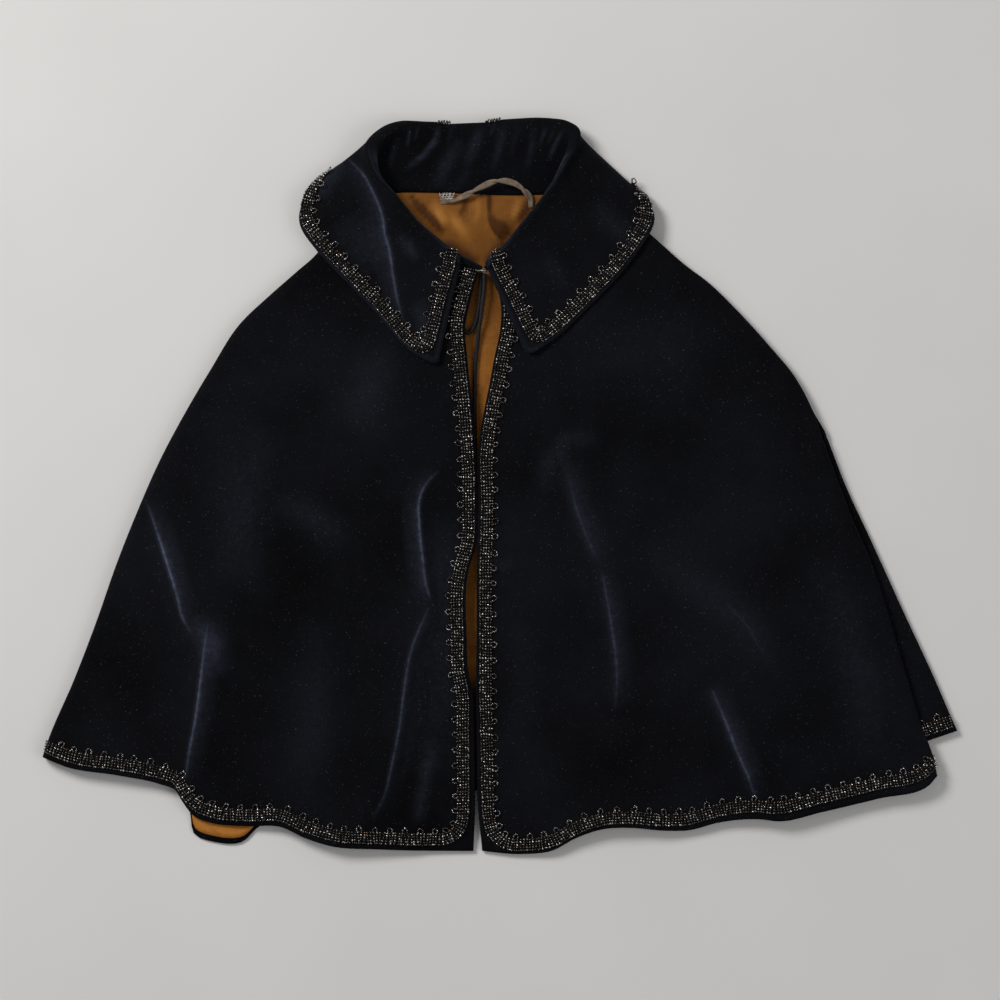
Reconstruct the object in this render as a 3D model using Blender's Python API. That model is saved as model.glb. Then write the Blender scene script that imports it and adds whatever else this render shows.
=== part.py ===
"""Short lined velvet cape with a turned-down collar, laid flat on its back with its front upwards.

The tables are in millimetres and the built model is in metres. +X is to the right as the cape is looked
at from above, +Y runs from the hem to the collar, and +Z is up from the surface that it lies on. The
origin is below the middle of the whole cape, on that surface.
"""

import math

import bmesh
import bpy
import numpy as np

MM = 0.001
CENTRE = (1.5, 0.6)  # middle of the whole cape in the tables

# Cloth and seams
CLOTH = 2.0  # velvet with its inner cloth
COLLAR_CLOTH = 2.2
LINING = 1.0
SEAM_GAP = 0.3
NECK_GAP = 0.5

# Heights of the outer faces above the surface
FRONT_TOP = 14.0
FRONT_LOFT = 2.0
SIDE_TOP = 13.0
SIDE_SEAM = 6.0
NECK_LIFT = 2.5  # the back lies on the fallen back of the collar near the neck
NECK_LIFT_FROM = 222.0
NECK_LIFT_TO = 246.0

# Bead trim: where its ladder of beads starts and ends, in from the edge of the cloth
TRIM_NEAR = 2.8
TRIM_FAR = 12.6
HEM_TRIM_NEAR = 5.0
HEM_TRIM_FAR = 15.5
TRIM_THICK = 1.6
TRIM_LIFT = 0.4
COLLAR_TRIM_NEAR = 4.0
COLLAR_TRIM_FAR = 14.0

# Fold at each side: how far in from the outline it starts
FOLD_REACH = 9.0
LINING_INSET = 13.0
PLEAT_DEPTH = 45.0
PLEAT_STARTS = 46.0  # height up the cape at which the pleat on the right begins
PLEAT_FULL = -150.0
FOLD_STEPS = 4
HEM_RISE = 75.0  # the cloth comes down to its hem over this length

# Outlines, as x and y
LEFT_SIDE = [(-130, 266), (-150, 242), (-166, 216), (-188, 196), (-213, 174), (-238, 150), (-265, 108),
             (-288, 69), (-310, 28), (-336, -31), (-351, -69), (-371, -126), (-391, -178), (-415, -234),
             (-420, -249)]
LEFT_HEM = [(-23, -337), (-47, -337), (-73, -337), (-109, -336), (-155, -333), (-178, -326), (-201, -316),
            (-231, -316), (-265, -313), (-279, -308), (-291, -294), (-298, -283), (-311, -278),
            (-351, -270), (-397, -263), (-420, -254)]
RIGHT_SIDE = [(92, 272), (120, 250), (146, 227), (172, 204), (192, 189), (221, 161), (250, 129), (273, 101),
              (290, 69), (300, 40), (312, 6), (327, -32), (342, -67), (355, -105), (373, -166),
              (389, -219), (400, -248), (404, -266)]
RIGHT_OUTER = [(92, 272), (120, 250), (146, 227), (172, 204), (192, 189), (221, 161), (250, 129),
               (273, 101), (290, 69), (301, 50), (308, 32), (318, 6), (345, -53), (376, -121),
               (402, -177), (418, -214), (423, -225)]
RIGHT_HEM = [(-15, -335), (20, -338), (49, -335), (72, -323), (97, -315), (120, -314), (152, -317),
             (175, -317), (203, -310), (239, -307), (259, -309), (297, -301), (349, -289), (397, -276),
             (404, -268)]
BACK_HEM = [(-420, -250), (-380, -258), (-330, -266), (-298, -274), (-285, -300), (-280, -323), (-262, -330),
            (-236, -330), (-222, -317), (-190, -303), (-100, -290), (-19, -284), (100, -288), (220, -284),
            (310, -270), (375, -248), (423, -232)]

# Front opening: y, then x of the left edge and of the right edge
OPENING = [(202, -16.5, -9.5), (185, -22, -2), (166, -27, 2.3), (148, -30.5, 2), (117, -28.5, -4.1),
           (92, -26, -8.7), (74, -24, -12.4), (52, -22.3, -16.4), (29, -20.5, -18.9), (-12, -19.4, -18.5),
           (-55, -21, -19.2), (-75, -27, -19.8), (-141, -29, -20.3), (-172, -27.5, -20.5),
           (-190, -23.5, -20.7), (-215, -22.7, -20.2), (-250, -22, -19.6), (-290, -21.5, -19.2),
           (-336, -23, -15)]

# Collar stations on each side, from the front edge to the centre back, with these columns:
# neck seam x, y, z; rolled edge x, y, z; outer edge x, y, z; the way out from the neck x, y; how far the
# roll is turned, from lying on the front (0) past standing (90) to lying behind the back (180); and the
# half width of the roll
LEFT_COLLAR = [(-30, 204.6, 12, -35, 208.5, 23, -56, 111, 18.8, -2, -22, 75, 5.4),
               (-55, 211, 12, -54, 226, 24.5, -83, 126, 17.2, -9, -18, 40, 4.8),
               (-76, 220, 12, -74, 244, 26, -113, 160, 16.7, -13, -16, 22, 4.2),
               (-97, 232, 12, -92, 266, 28, -141, 189, 16.6, -16, -12, 18, 4.1),
               (-115, 247, 12, -107, 283, 29, -168, 218, 16, -19, -7, 35, 4.6),
               (-123, 259, 10.5, -114, 298, 28.5, -183, 242, 13, -20, 0, 65, 5.4),
               (-121, 266.5, 9.5, -116, 313, 25, -178, 266, 11.5, -18, 8, 95, 7.5),
               (-108, 271.8, 7.8, -105, 328.5, 21, -158, 287, 2.8, -15, 17, 125, 6.5),
               (-91, 271, 5.5, -89, 336, 17, -134, 280, 0, -9, 22, 155, 6.2),
               (-68, 270.5, 5.3, -66, 336, 15, -95, 261, 0, -4, 24, 175, 5.5),
               (-46, 270, 5.3, -44, 335.2, 14, -48, 254, 0, 0, 24, 180, 5)]
RIGHT_COLLAR = [(-12, 202, 12, -10, 205.5, 22.5, 27, 119, 18.8, 2, -28, 75, 5.4),
                (12, 206, 12, 4, 220, 24, 57, 140, 17.2, 12, -15, 40, 4.8),
                (31, 217, 12, 17, 237, 25, 84, 166, 16.7, 15, -12, 22, 4.2),
                (54, 234, 12, 34, 258, 27, 112, 195, 16.7, 17, -8, 18, 4.1),
                (74, 251, 12, 50, 280, 28.5, 133, 223, 16.5, 19, -3, 35, 4.6),
                (85, 263, 10.5, 60, 297, 28, 143, 242, 13.6, 20, 4, 65, 5.4),
                (83.5, 268.5, 9.5, 69, 312, 25, 141, 257, 12.2, 17, 10, 95, 7.5),
                (72, 271.8, 7.6, 72, 326.5, 20.5, 131, 269, 3.2, 13, 15, 125, 8),
                (58, 269.5, 5.5, 60.5, 336.4, 17, 108, 270, 0, 9, 22, 155, 10),
                (38, 268.5, 5.3, 39.5, 339.6, 15, 70, 262, 0, 4, 24, 175, 11.5),
                (14, 268, 5.3, 16.5, 338.9, 14, 35, 256, 0, 1, 24, 180, 10),
                (-8, 268.5, 5.3, -9, 337.1, 14, -5, 254, 0, 0, 22, 180, 6.5)]

# Neck edges of the panels
LEFT_NECK = [(-16.5, 202), (-34, 205), (-55, 211), (-76, 220), (-97, 232), (-117, 248), (-130, 266)]
RIGHT_NECK = [(-9.5, 202), (12, 206), (31, 217), (54, 234), (76, 253), (92, 272)]
BACK_NECK = [(-130, 266), (-121, 266.8), (-108, 269), (-91, 270.5), (-68, 270.5), (-46, 270), (-8, 268.5),
             (14, 268), (38, 268.5), (60, 269.5), (74, 271), (92, 272)]

# Height of the front's hem along x
HEM_HEIGHTS = [(-420, 12), (-350, 13), (-315, 11.5), (-284, 7.5), (-255, 6.2), (-225, 6.6), (-188, 12),
               (-150, 13.5), (-110, 10), (-70, 5), (-23, 3.4), (-15, 3.4), (30, 5), (75, 11), (110, 14),
               (145, 11.5), (175, 7.5), (210, 9), (250, 13.5), (290, 13), (330, 11), (370, 12.5), (420, 13)]

# Largest folds: points of the ridge, its height, and its half width on the left and on the right of it
LEFT_FOLDS = [([(-322, -20), (-308, -60), (-294, -105), (-285, -140), (-272, -165), (-277, -205),
                (-286, -250), (-285, -290)], 7.0, 12.0, 34.0),
              ([(-62, 12), (-74, -15), (-73, -45), (-68, -86), (-70, -125), (-84, -160), (-92, -205),
                (-102, -262), (-110, -315)], 6.5, 34.0, 11.0),
              ([(-65, -250), (-72, -285), (-75, -325)], 3.5, 14.0, 9.0)]
RIGHT_FOLDS = [([(74, 48), (48, 34), (41, 12), (44, -22)], 4.5, 10.0, 24.0),
               ([(58, 30), (63, -5), (76, -54), (94, -90), (103, -135), (106, -190), (110, -240)],
                6.0, 12.0, 36.0),
               ([(140, -35), (190, -97), (232, -140), (268, -190)], 4.0, 30.0, 30.0),
               ([(190, -180), (213, -228), (230, -268), (238, -312)], 6.0, 11.0, 30.0)]

# Roll of the collar
ROLL_RADIUS = 3.5
ROLL_RADIUS_STANDING = 5.5
ROLL_STEPS = 4
STAND_POINTS = 5
FALL_POINTS = 5

# Neck cord: x, y, z along it
CORD_RADIUS = 2.0
CORD = [(-13, 196, 11.8), (-13, 190, 11.6), (-13.4, 180, 11.3), (-15, 167, 10.6), (-16.3, 155, 9.8),
        (-18, 145, 8.1), (-19.3, 133, 6.2), (-21, 116, 5.65), (-22, 80, 5.65), (-21.8, 43, 5.65),
        (-21.5, 6, 5.65), (-23, -22, 5.65), (-27, -49, 5.65), (-32.5, -75, 5.65), (-34.5, -94, 5.9)]
CORD_LOOP = [(-16.2, 196, 8.2), (-16.2, 186, 8.0), (-17.1, 172, 7.1), (-19.4, 157, 6.2), (-23, 146.5, 5.65),
             (-28, 141.5, 5.65), (-33.4, 145.5, 5.65), (-36, 156, 5.65), (-37, 168, 5.65), (-38, 180, 5.65)]
CORD_STEP = 7.0
KNOT_CENTRE = (-35, -99.6, 7.5)
KNOT_RADII = (3.8, 5.0, 3.8)

# Hanger tape: x, y, z along its middle
HANGER = [(-53, 263, 6.15), (-45, 262.5, 6.9), (-32, 267, 9.8), (-17, 275, 12.4), (0, 281, 13.4),
          (13, 279.5, 12.6), (23, 273, 10), (29.5, 265, 7), (30, 257, 6.15)]
HANGER_WIDTH = 5.5
HANGER_THICK = 1.6

# Neck fastening
FASTENER_WIRE = 0.7


def metres(point):
    """Turn a point of the tables into metres from the middle of the cape."""
    return ((float(point[0]) - CENTRE[0]) * MM, (float(point[1]) - CENTRE[1]) * MM, float(point[2]) * MM)


def smooth_step(value):
    """Go from 0 to 1 without a corner."""
    value = np.clip(value, 0.0, 1.0)
    return value * value * (3.0 - 2.0 * value)


def blend(first, second, share):
    """Mix two values or two points."""
    return first + (second - first) * share


class Curve:
    """A smooth line through points, read by a share of its length."""

    def __init__(self, points):
        self.points = np.array(points, float)
        steps = np.linalg.norm(np.diff(self.points[:, :2], axis=0), axis=1)
        self.marks = np.concatenate([[0.0], np.cumsum(steps)])
        self.length = self.marks[-1]
        self.slopes = np.gradient(self.points, self.marks, axis=0)

    def at(self, share):
        place = min(max(share, 0.0), 1.0) * self.length
        i = int(np.clip(np.searchsorted(self.marks, place, side="right") - 1, 0, len(self.marks) - 2))
        step = self.marks[i + 1] - self.marks[i]
        t = (place - self.marks[i]) / step
        rise = t * t * (3 - 2 * t)
        start = t * (1 - t) ** 2 * step
        end = t * t * (t - 1) * step
        return (blend(self.points[i], self.points[i + 1], rise)
                + start * self.slopes[i] + end * self.slopes[i + 1])


class Patch:
    """A flat panel between its neck, its hem and its two long edges."""

    def __init__(self, neck, hem, start, end):
        self.neck, self.hem, self.start, self.end = neck, hem, start, end
        self.corners = [neck.at(0), neck.at(1), hem.at(0), hem.at(1)]

    def at(self, u, v):
        across = blend(self.neck.at(u), self.hem.at(u), v)
        along = blend(self.start.at(v), self.end.at(v), u)
        top = blend(self.corners[0], self.corners[1], u)
        bottom = blend(self.corners[2], self.corners[3], u)
        return across + along - blend(top, bottom, v)

    def row(self, v):
        """One line across the panel, read by its distance from the first edge."""
        shares = np.linspace(0, 1, 25)
        points = np.array([self.at(u, v) for u in shares])
        marks = np.concatenate([[0.0], np.cumsum(np.linalg.norm(np.diff(points, axis=0), axis=1))])
        return marks[-1], lambda distance: self.at(np.interp(distance, marks, shares), v)


def spread(first, last, count):
    """Evenly spaced values, without the last one."""
    return list(np.linspace(first, last, count, endpoint=False))


def fold_height(folds, x, y):
    """Height that the ridges add at one place."""
    total = 0.0
    for points, height, left_width, right_width in folds:
        path = np.array(points, float)
        best = (1e9, 0.0, 0.0)
        for i in range(len(path) - 1):
            run = path[i + 1] - path[i]
            t = float(np.clip(np.dot((x, y) - path[i], run) / np.dot(run, run), 0, 1))
            away = (x, y) - (path[i] + run * t)
            distance = float(np.hypot(*away))
            if distance < best[0]:
                side = run[0] * away[1] - run[1] * away[0]
                best = (distance, side, (i + t) / (len(path) - 1))
        width = right_width if best[1] > 0 else left_width
        fade = smooth_step(best[2] / 0.2)
        total += height * fade * math.exp(-((best[0] / width) ** 2))
    return total


def hem_height(x):
    """Height of the outer face of the front along its hem."""
    return float(np.interp(x, [row[0] for row in HEM_HEIGHTS], [row[1] for row in HEM_HEIGHTS]))


def front_height(folds, point, from_hem, from_side):
    """Height of the outer face of a front."""
    x, y = point[:2]
    side = smooth_step(from_side / 60.0)
    low = smooth_step((120.0 - y) / 60.0)
    top = FRONT_TOP + low * (FRONT_LOFT * side + fold_height(folds, x, y) * side)
    top = blend(SIDE_TOP, top, side)
    return blend(hem_height(x), top, smooth_step(from_hem / HEM_RISE) * 0.85 + 0.15 * min(1, from_hem / HEM_RISE))


def back_base(y):
    """Height of the back's lower face, which steps up onto the collar."""
    return NECK_LIFT * smooth_step((y - NECK_LIFT_FROM) / (NECK_LIFT_TO - NECK_LIFT_FROM))


def plain_fold(start, seam, count):
    """A plain side fold: how far in from the outline, and how high, from the flat to the seam."""
    low = seam + math.copysign(0.9, start - seam)
    reach = min(FOLD_REACH, abs(start - low) * 1.3)
    for k in range(FOLD_STEPS + 1):
        turn = math.pi / 2 * k / FOLD_STEPS
        yield reach * (1 - math.sin(turn)), low + (start - low) * math.cos(turn)
    for k in range(1, count - FOLD_STEPS + 1):
        yield 0.0, blend(low, seam, k / (count - FOLD_STEPS))


def pleat_fold(start, seam, depth, count):
    """A side fold that turns right over and runs back in by the depth of the pleat."""
    radius = abs(start - seam) / 2
    for k in range(FOLD_STEPS + 1):
        turn = math.pi * k / FOLD_STEPS
        yield radius * (1 - math.sin(turn)), (start + seam) / 2 + (start - seam) / 2 * math.cos(turn)
    for k in range(1, count - FOLD_STEPS + 1):
        yield blend(radius, max(depth, radius + 3), k / (count - FOLD_STEPS)), seam


def right_fold(start, seam, y, more, count):
    """The fold on the right: plain above the place where the pleat begins, and pleated below it."""
    if y > PLEAT_STARTS:
        return list(plain_fold(start, seam, count))
    depth = PLEAT_DEPTH * smooth_step((PLEAT_STARTS - y) / (PLEAT_STARTS - PLEAT_FULL))
    return list(pleat_fold(start, seam, depth + more, count))


def row_shares(length, count):
    """Rows down a panel, with two of them on the edges of the bead trim above the hem."""
    far = 1 - HEM_TRIM_FAR / length
    near = 1 - HEM_TRIM_NEAR / length
    return spread(0, far, count) + [far, near, 1.0]


def side_seam(y):
    """Height of the seam in the middle of a side fold."""
    return SIDE_SEAM + 1.25 * float(np.clip((y - 90) / 160, 0, 1))


def front_grid(patch, folds, pleated, rows, columns):
    """Outer face of a front, from its opening edge over the fold at its side."""
    length = patch.start.length
    grid = []
    for v in row_shares(length, rows):
        width, point_at = patch.row(v)
        from_hem = (1 - v) * length
        side_y = patch.end.at(v)[1]
        flat = [0.0, TRIM_NEAR, TRIM_FAR] + spread(TRIM_FAR, width - FOLD_REACH, columns)[1:]
        line = []
        for distance in flat:
            point = point_at(distance)
            line.append((*point, front_height(folds, point, from_hem, width - distance)))
        start = front_height(folds, point_at(width - FOLD_REACH), from_hem, FOLD_REACH)
        seam = side_seam(side_y) + SEAM_GAP / 2
        start = max(start, seam + 2)
        fold = right_fold(start, seam, side_y, 0.0, 7) if pleated else plain_fold(start, seam, 5)
        for inset, height in fold:
            line.append((*point_at(width - inset), height))
        grid.append(line)
    return np.array(grid)


def flap_width(y):
    """How far the back's outer fold shows beyond the front's, at this height up the cape."""
    outer = np.interp(-y, [-p[1] for p in RIGHT_OUTER], [p[0] for p in RIGHT_OUTER])
    inner = np.interp(-y, [-p[1] for p in RIGHT_SIDE], [p[0] for p in RIGHT_SIDE])
    return max(0.0, float(outer - inner))


def back_grid(patch, rows, columns):
    """Outer face of the back, from the left seam under the cape and over the pleat on the right."""
    length = patch.start.length
    grid = []
    for v in row_shares(length, rows):
        width, point_at = patch.row(v)
        left_y = patch.start.at(v)[1]
        right_y = patch.end.at(v)[1]
        line = []
        seam = side_seam(left_y) - SEAM_GAP / 2
        for inset, height in reversed(list(plain_fold(back_base(left_y), seam, 5))):
            line.append((*point_at(inset), height))
        flat = spread(LINING_INSET, width - LINING_INSET, columns) + [width - LINING_INSET]
        for distance in flat:
            point = point_at(distance)
            line.append((*point, back_base(point[1])))
        seam = side_seam(right_y) - SEAM_GAP / 2
        for inset, height in right_fold(back_base(right_y), seam, right_y, flap_width(right_y), 7):
            line.append((*point_at(width - inset), height))
        grid.append(line)
    return np.array(grid)


def bezier(points, t):
    """Point on the curve with four control points."""
    a, b, c, d = points
    s = 1 - t
    return s ** 3 * a + 3 * s * s * t * b + 3 * s * t * t * c + t ** 3 * d


def read_along(points, distances):
    """Points of a line at these distances from its end."""
    points = np.array(points)[::-1]
    marks = np.concatenate([[0.0], np.cumsum(np.linalg.norm(np.diff(points, axis=0), axis=1))])
    return [np.array([np.interp(d, marks, points[:, k]) for k in range(3)]) for d in distances], marks[-1]


def stretch(arc, out, share):
    """Make a step of the roll longer or shorter in the way out from the neck."""
    return arc + out * arc.dot(out) * (share - 1)


def collar_section(row):
    """One section of the collar, from the neck seam up the stand, over the roll and down the fall."""
    neck, crest, edge = row[0:3].copy(), row[3:6], row[6:9]
    out = np.array([row[9], row[10], 0.0])
    out /= np.linalg.norm(out)
    up = np.array([0.0, 0.0, 1.0])
    turn = math.radians(row[11])
    radius = blend(ROLL_RADIUS, ROLL_RADIUS_STANDING, math.sin(min(turn, math.pi / 2)))
    half = row[12]
    tip = up * math.sin(turn) - out * math.cos(turn)
    inside = -out * math.sin(turn) - up * math.cos(turn)
    centre = crest + out * half * math.cos(turn) - up * radius
    neck -= out * blend(COLLAR_CLOTH + NECK_GAP, -NECK_GAP, smooth_step((row[11] - 90) / 40))
    begins = centre + stretch(inside * radius, out, half / radius)
    ends = centre - stretch(inside * radius, out, half / radius)
    reach = np.linalg.norm(begins - neck) / 3
    lean = up * math.sin(turn) * 0.6 - out * math.cos(turn)
    stand = (neck, neck + lean * reach, begins - tip * reach, begins)
    section = [bezier(stand, t) for t in np.linspace(0, 1, STAND_POINTS)]
    for k in range(1, ROLL_STEPS):
        angle = math.pi * k / ROLL_STEPS
        arc = inside * radius * math.cos(angle) + tip * radius * math.sin(angle)
        section.append(centre + stretch(arc, out, half / radius))
    reach = np.linalg.norm(edge - ends) / 3
    flat = (edge - ends) * (1, 1, 0)
    flat /= max(np.linalg.norm(flat), 1e-6)
    plan = (ends, ends - tip * min(reach, 9.0), edge - flat * reach, edge)
    sag = blend(2.0, 3.2, smooth_step((row[11] - 90) / 60))
    fall = []
    for t in np.linspace(0, 1, 61):
        point = bezier(plan, t)
        point[2] = max(0.0, edge[2] + (ends[2] - edge[2]) * (1 - t) ** sag)
        fall.append(point)
    length = read_along(fall, [0])[1]
    places = [0.0, COLLAR_TRIM_NEAR, COLLAR_TRIM_FAR]
    places += spread(COLLAR_TRIM_FAR, length, FALL_POINTS)[1:] + [length]
    return section + read_along(fall, places)[0][::-1]


def collar_stations(table):
    """Stations of one half of the collar: its front edge, both edges of its trim, then evenly spaced."""
    table = np.array(table, float)
    marks = np.arange(len(table))
    first = np.linalg.norm(table[1, 6:8] - table[0, 6:8])
    shares = [0.0, COLLAR_TRIM_NEAR / first, COLLAR_TRIM_FAR / first, 1.0]
    shares += list(np.arange(1.5, len(table) - 0.75, 0.5))
    slopes = np.gradient(table, axis=0)
    rows = []
    for share in shares:
        i = min(int(share), len(table) - 2)
        t = share - marks[i]
        rise = t * t * (3 - 2 * t)
        rows.append(blend(table[i], table[i + 1], rise) + t * (1 - t) ** 2 * slopes[i]
                    + t * t * (t - 1) * slopes[i + 1])
    return rows


def collar_grid():
    """Whole collar, from its left front edge round the back to its right front edge."""
    left = collar_stations(LEFT_COLLAR)
    right = collar_stations(RIGHT_COLLAR)[::-1]
    middle = [blend(left[-1], right[0], 0.5)]
    rows = left + middle + right
    grid = np.array([collar_section(row) for row in rows])
    return grid, len(left), len(left) + len(middle)


def unit(vectors):
    """Vectors of length 1."""
    return vectors / np.maximum(np.linalg.norm(vectors, axis=-1, keepdims=True), 1e-9)


def grid_normals(grid):
    """Unit normals of a grid of points, each halfway between those of the cells beside it."""
    ways = []
    for axis in (0, 1):
        steps = np.moveaxis(unit(np.diff(grid, axis=axis)), axis, 0)
        both = unit(steps[:-1] + steps[1:])
        ways.append(np.moveaxis(np.concatenate([steps[:1], both, steps[-1:]]), 0, axis))
    return unit(np.cross(ways[0], ways[1]))


def all_cells(grid):
    """Every cell of a grid, as its row and its column."""
    return [(i, j) for i in range(grid.shape[0] - 1) for j in range(grid.shape[1] - 1)]


def wall(name, front, behind, cells, material, flip):
    """A closed wall between two grids of points, over the given cells."""
    body = bmesh.new()
    corners = {}
    sides = {}

    def corner(layer, place):
        if (layer, place) not in corners:
            point = (front if layer == 0 else behind)[place]
            corners[(layer, place)] = body.verts.new(metres(point))
        return corners[(layer, place)]

    for i, j in cells:
        ring = [(i, j), (i + 1, j), (i + 1, j + 1), (i, j + 1)]
        if flip:
            ring = [(i, j + 1), (i + 1, j + 1), (i + 1, j), (i, j)]
        for triangle in ((0, 1, 2), (0, 2, 3)):
            body.faces.new([corner(0, ring[k]) for k in triangle])
            body.faces.new([corner(1, ring[k]) for k in reversed(triangle)])
        for k in range(4):
            side = (ring[k], ring[(k + 1) % 4])
            if (side[1], side[0]) in sides:
                del sides[(side[1], side[0])]
            else:
                sides[side] = True
    for start, end in sides:
        body.faces.new([corner(0, end), corner(0, start), corner(1, start)])
        body.faces.new([corner(0, end), corner(1, start), corner(1, end)])
    mesh = bpy.data.meshes.new(name)
    body.to_mesh(mesh)
    body.free()
    mesh.shade_smooth()
    mesh.materials.append(material)
    piece = bpy.data.objects.new(name, mesh)
    bpy.context.collection.objects.link(piece)
    return piece


def cloth(name, grid, cells, thickness, material, flip=False):
    """Cloth whose outer face is the grid. The grid's own facing is turned round by flip."""
    outwards = grid_normals(grid) * (-1.0 if flip else 1.0)
    return wall(name, grid, grid - outwards * thickness, cells, material, flip)


def trim_band(name, grid, cells, material, flip=False):
    """A band of bead trim on the panel's own points, moved out."""
    outwards = grid_normals(grid) * (-1.0 if flip else 1.0)
    low = grid + outwards * TRIM_LIFT
    return wall(name, low + outwards * TRIM_THICK, low, cells, material, flip)


def round_trim_corner(grid, row, column, amount):
    """Take the outer corner of the trim in towards its inner corner."""
    grid[row, column] = blend(grid[row, column], grid[row - 1, column + 1], amount)


def tube(name, points, radius, material, step, sides):
    """A round cord or wire through points, with closed ends."""
    route = Curve3(points)
    count = max(2, round(route.length / step))
    line = bpy.data.curves.new(name, "CURVE")
    line.dimensions = "3D"
    line.bevel_depth = radius * MM
    line.bevel_resolution = sides
    line.use_fill_caps = True
    spline = line.splines.new("POLY")
    spline.points.add(count)
    for k in range(count + 1):
        spline.points[k].co = (*metres(route.at(k / count)), 1.0)
    line.materials.append(material)
    piece = bpy.data.objects.new(name, line)
    bpy.context.collection.objects.link(piece)
    return piece


class Curve3(Curve):
    """A smooth line in space."""

    def __init__(self, points):
        super().__init__(points)
        steps = np.linalg.norm(np.diff(self.points, axis=0), axis=1)
        self.marks = np.concatenate([[0.0], np.cumsum(steps)])
        self.length = self.marks[-1]
        self.slopes = np.gradient(self.points, self.marks, axis=0)


def tape(name, points, width, thickness, material):
    """A flat tape that stands in a low arch on its two sewn ends."""
    route = Curve3(points)
    count = 22
    grid = []
    for k in range(count + 1):
        here = route.at(k / count)
        ahead = route.at(min(1, k / count + 0.01)) - route.at(max(0, k / count - 0.01))
        aside = np.cross((0, 0, 1), ahead)
        aside /= np.linalg.norm(aside)
        grid.append([here - aside * width / 2, here + aside * width / 2])
    return cloth(name, np.array(grid), all_cells(np.array(grid)), thickness, material, flip=True)


def knot(name, centre, radii, material):
    """The knot at the end of the cord."""
    mesh = bpy.data.meshes.new(name)
    body = bmesh.new()
    bmesh.ops.create_icosphere(body, subdivisions=2, radius=1.0)
    for vertex in body.verts:
        vertex.co = metres([centre[k] + vertex.co[k] * radii[k] for k in range(3)])
    body.to_mesh(mesh)
    body.free()
    mesh.shade_smooth()
    mesh.materials.append(material)
    piece = bpy.data.objects.new(name, mesh)
    bpy.context.collection.objects.link(piece)
    return piece


def make_material(name, colour, roughness, metallic=0.0):
    """A plain finish."""
    material = bpy.data.materials.new(name)
    material.use_nodes = True
    shader = material.node_tree.nodes["Principled BSDF"]
    shader.inputs["Base Color"].default_value = (*colour, 1.0)
    shader.inputs["Roughness"].default_value = roughness
    shader.inputs["Metallic"].default_value = metallic
    return material


def clear_scene():
    """Start with nothing in the scene."""
    for old in list(bpy.data.objects):
        bpy.data.objects.remove(old, do_unlink=True)


def opening_edge(column, dx=0.0):
    """One edge of the front opening, from the neck to the hem."""
    return Curve([(row[column] + dx, row[0]) for row in OPENING])


def build_fronts(velvet, beads):
    """Both fronts and the bead trim along their edges and hems."""
    sides = {
        "left": (Patch(Curve(LEFT_NECK), Curve(LEFT_HEM), opening_edge(1), Curve(LEFT_SIDE)), LEFT_FOLDS, False),
        "right": (Patch(Curve(RIGHT_NECK), Curve(RIGHT_HEM), opening_edge(2), Curve(RIGHT_SIDE)), RIGHT_FOLDS, True),
    }
    for side, (patch, folds, pleated) in sides.items():
        grid = front_grid(patch, folds, pleated, 22, 14)
        last = grid.shape[0] - 1
        round_trim_corner(grid, last - 1, 1, 0.3)
        flip = side == "left"
        cloth(f"front_{side}", grid, all_cells(grid), CLOTH, velvet, flip)
        hem_end = grid.shape[1] - (6 if pleated else 3)
        band = [(i, 1) for i in range(last - 1)]
        band += [(last - 2, j) for j in range(2, hem_end)]
        trim_band(f"trim_front_{side}", grid, band, beads, flip)


def build_back(velvet, lining, beads):
    """The back with its pleat on the right, its lining, and the trim that shows on the pleat."""
    patch = Patch(Curve(BACK_NECK), Curve(BACK_HEM), Curve(LEFT_SIDE), Curve(RIGHT_OUTER))
    grid = back_grid(patch, 18, 10)
    cloth("back", grid, all_cells(grid), CLOTH, velvet, flip=True)
    rows, columns = grid.shape[:2]
    trim_band("trim_pleat", grid, [(rows - 3, columns - 4)], beads, flip=True)
    inner = grid + grid_normals(grid) * (CLOTH + SEAM_GAP)
    cells = [(i, j) for i, j in all_cells(grid) if i < rows - 2 and 6 <= j < columns - 9]
    cloth("back_lining", inner, cells, LINING, lining, flip=True)


def build_collar(velvet, beads):
    """The one-piece collar with its notch at the centre back, and the trim on its two lobes."""
    grid, notch_from, notch_to = collar_grid()
    fall_from = STAND_POINTS + ROLL_STEPS - 1
    rim = STAND_POINTS - 1
    cells = [(i, j) for i, j in all_cells(grid) if j < rim or not notch_from - 1 <= i < notch_to]
    cloth("collar", grid, cells, COLLAR_CLOTH, velvet, flip=False)
    last_row, last_column = grid.shape[0] - 1, grid.shape[1] - 1
    along = 14
    left = [(1, j) for j in range(fall_from - 1, last_column - 1)]
    left += [(i, last_column - 2) for i in range(2, along)]
    right = [(last_row - 2, j) for j in range(fall_from - 1, last_column - 1)]
    right += [(i, last_column - 2) for i in range(last_row - along, last_row - 2)]
    trim_band("trim_collar_left", grid, left, beads, flip=False)
    trim_band("trim_collar_right", grid, right, beads, flip=False)


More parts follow.
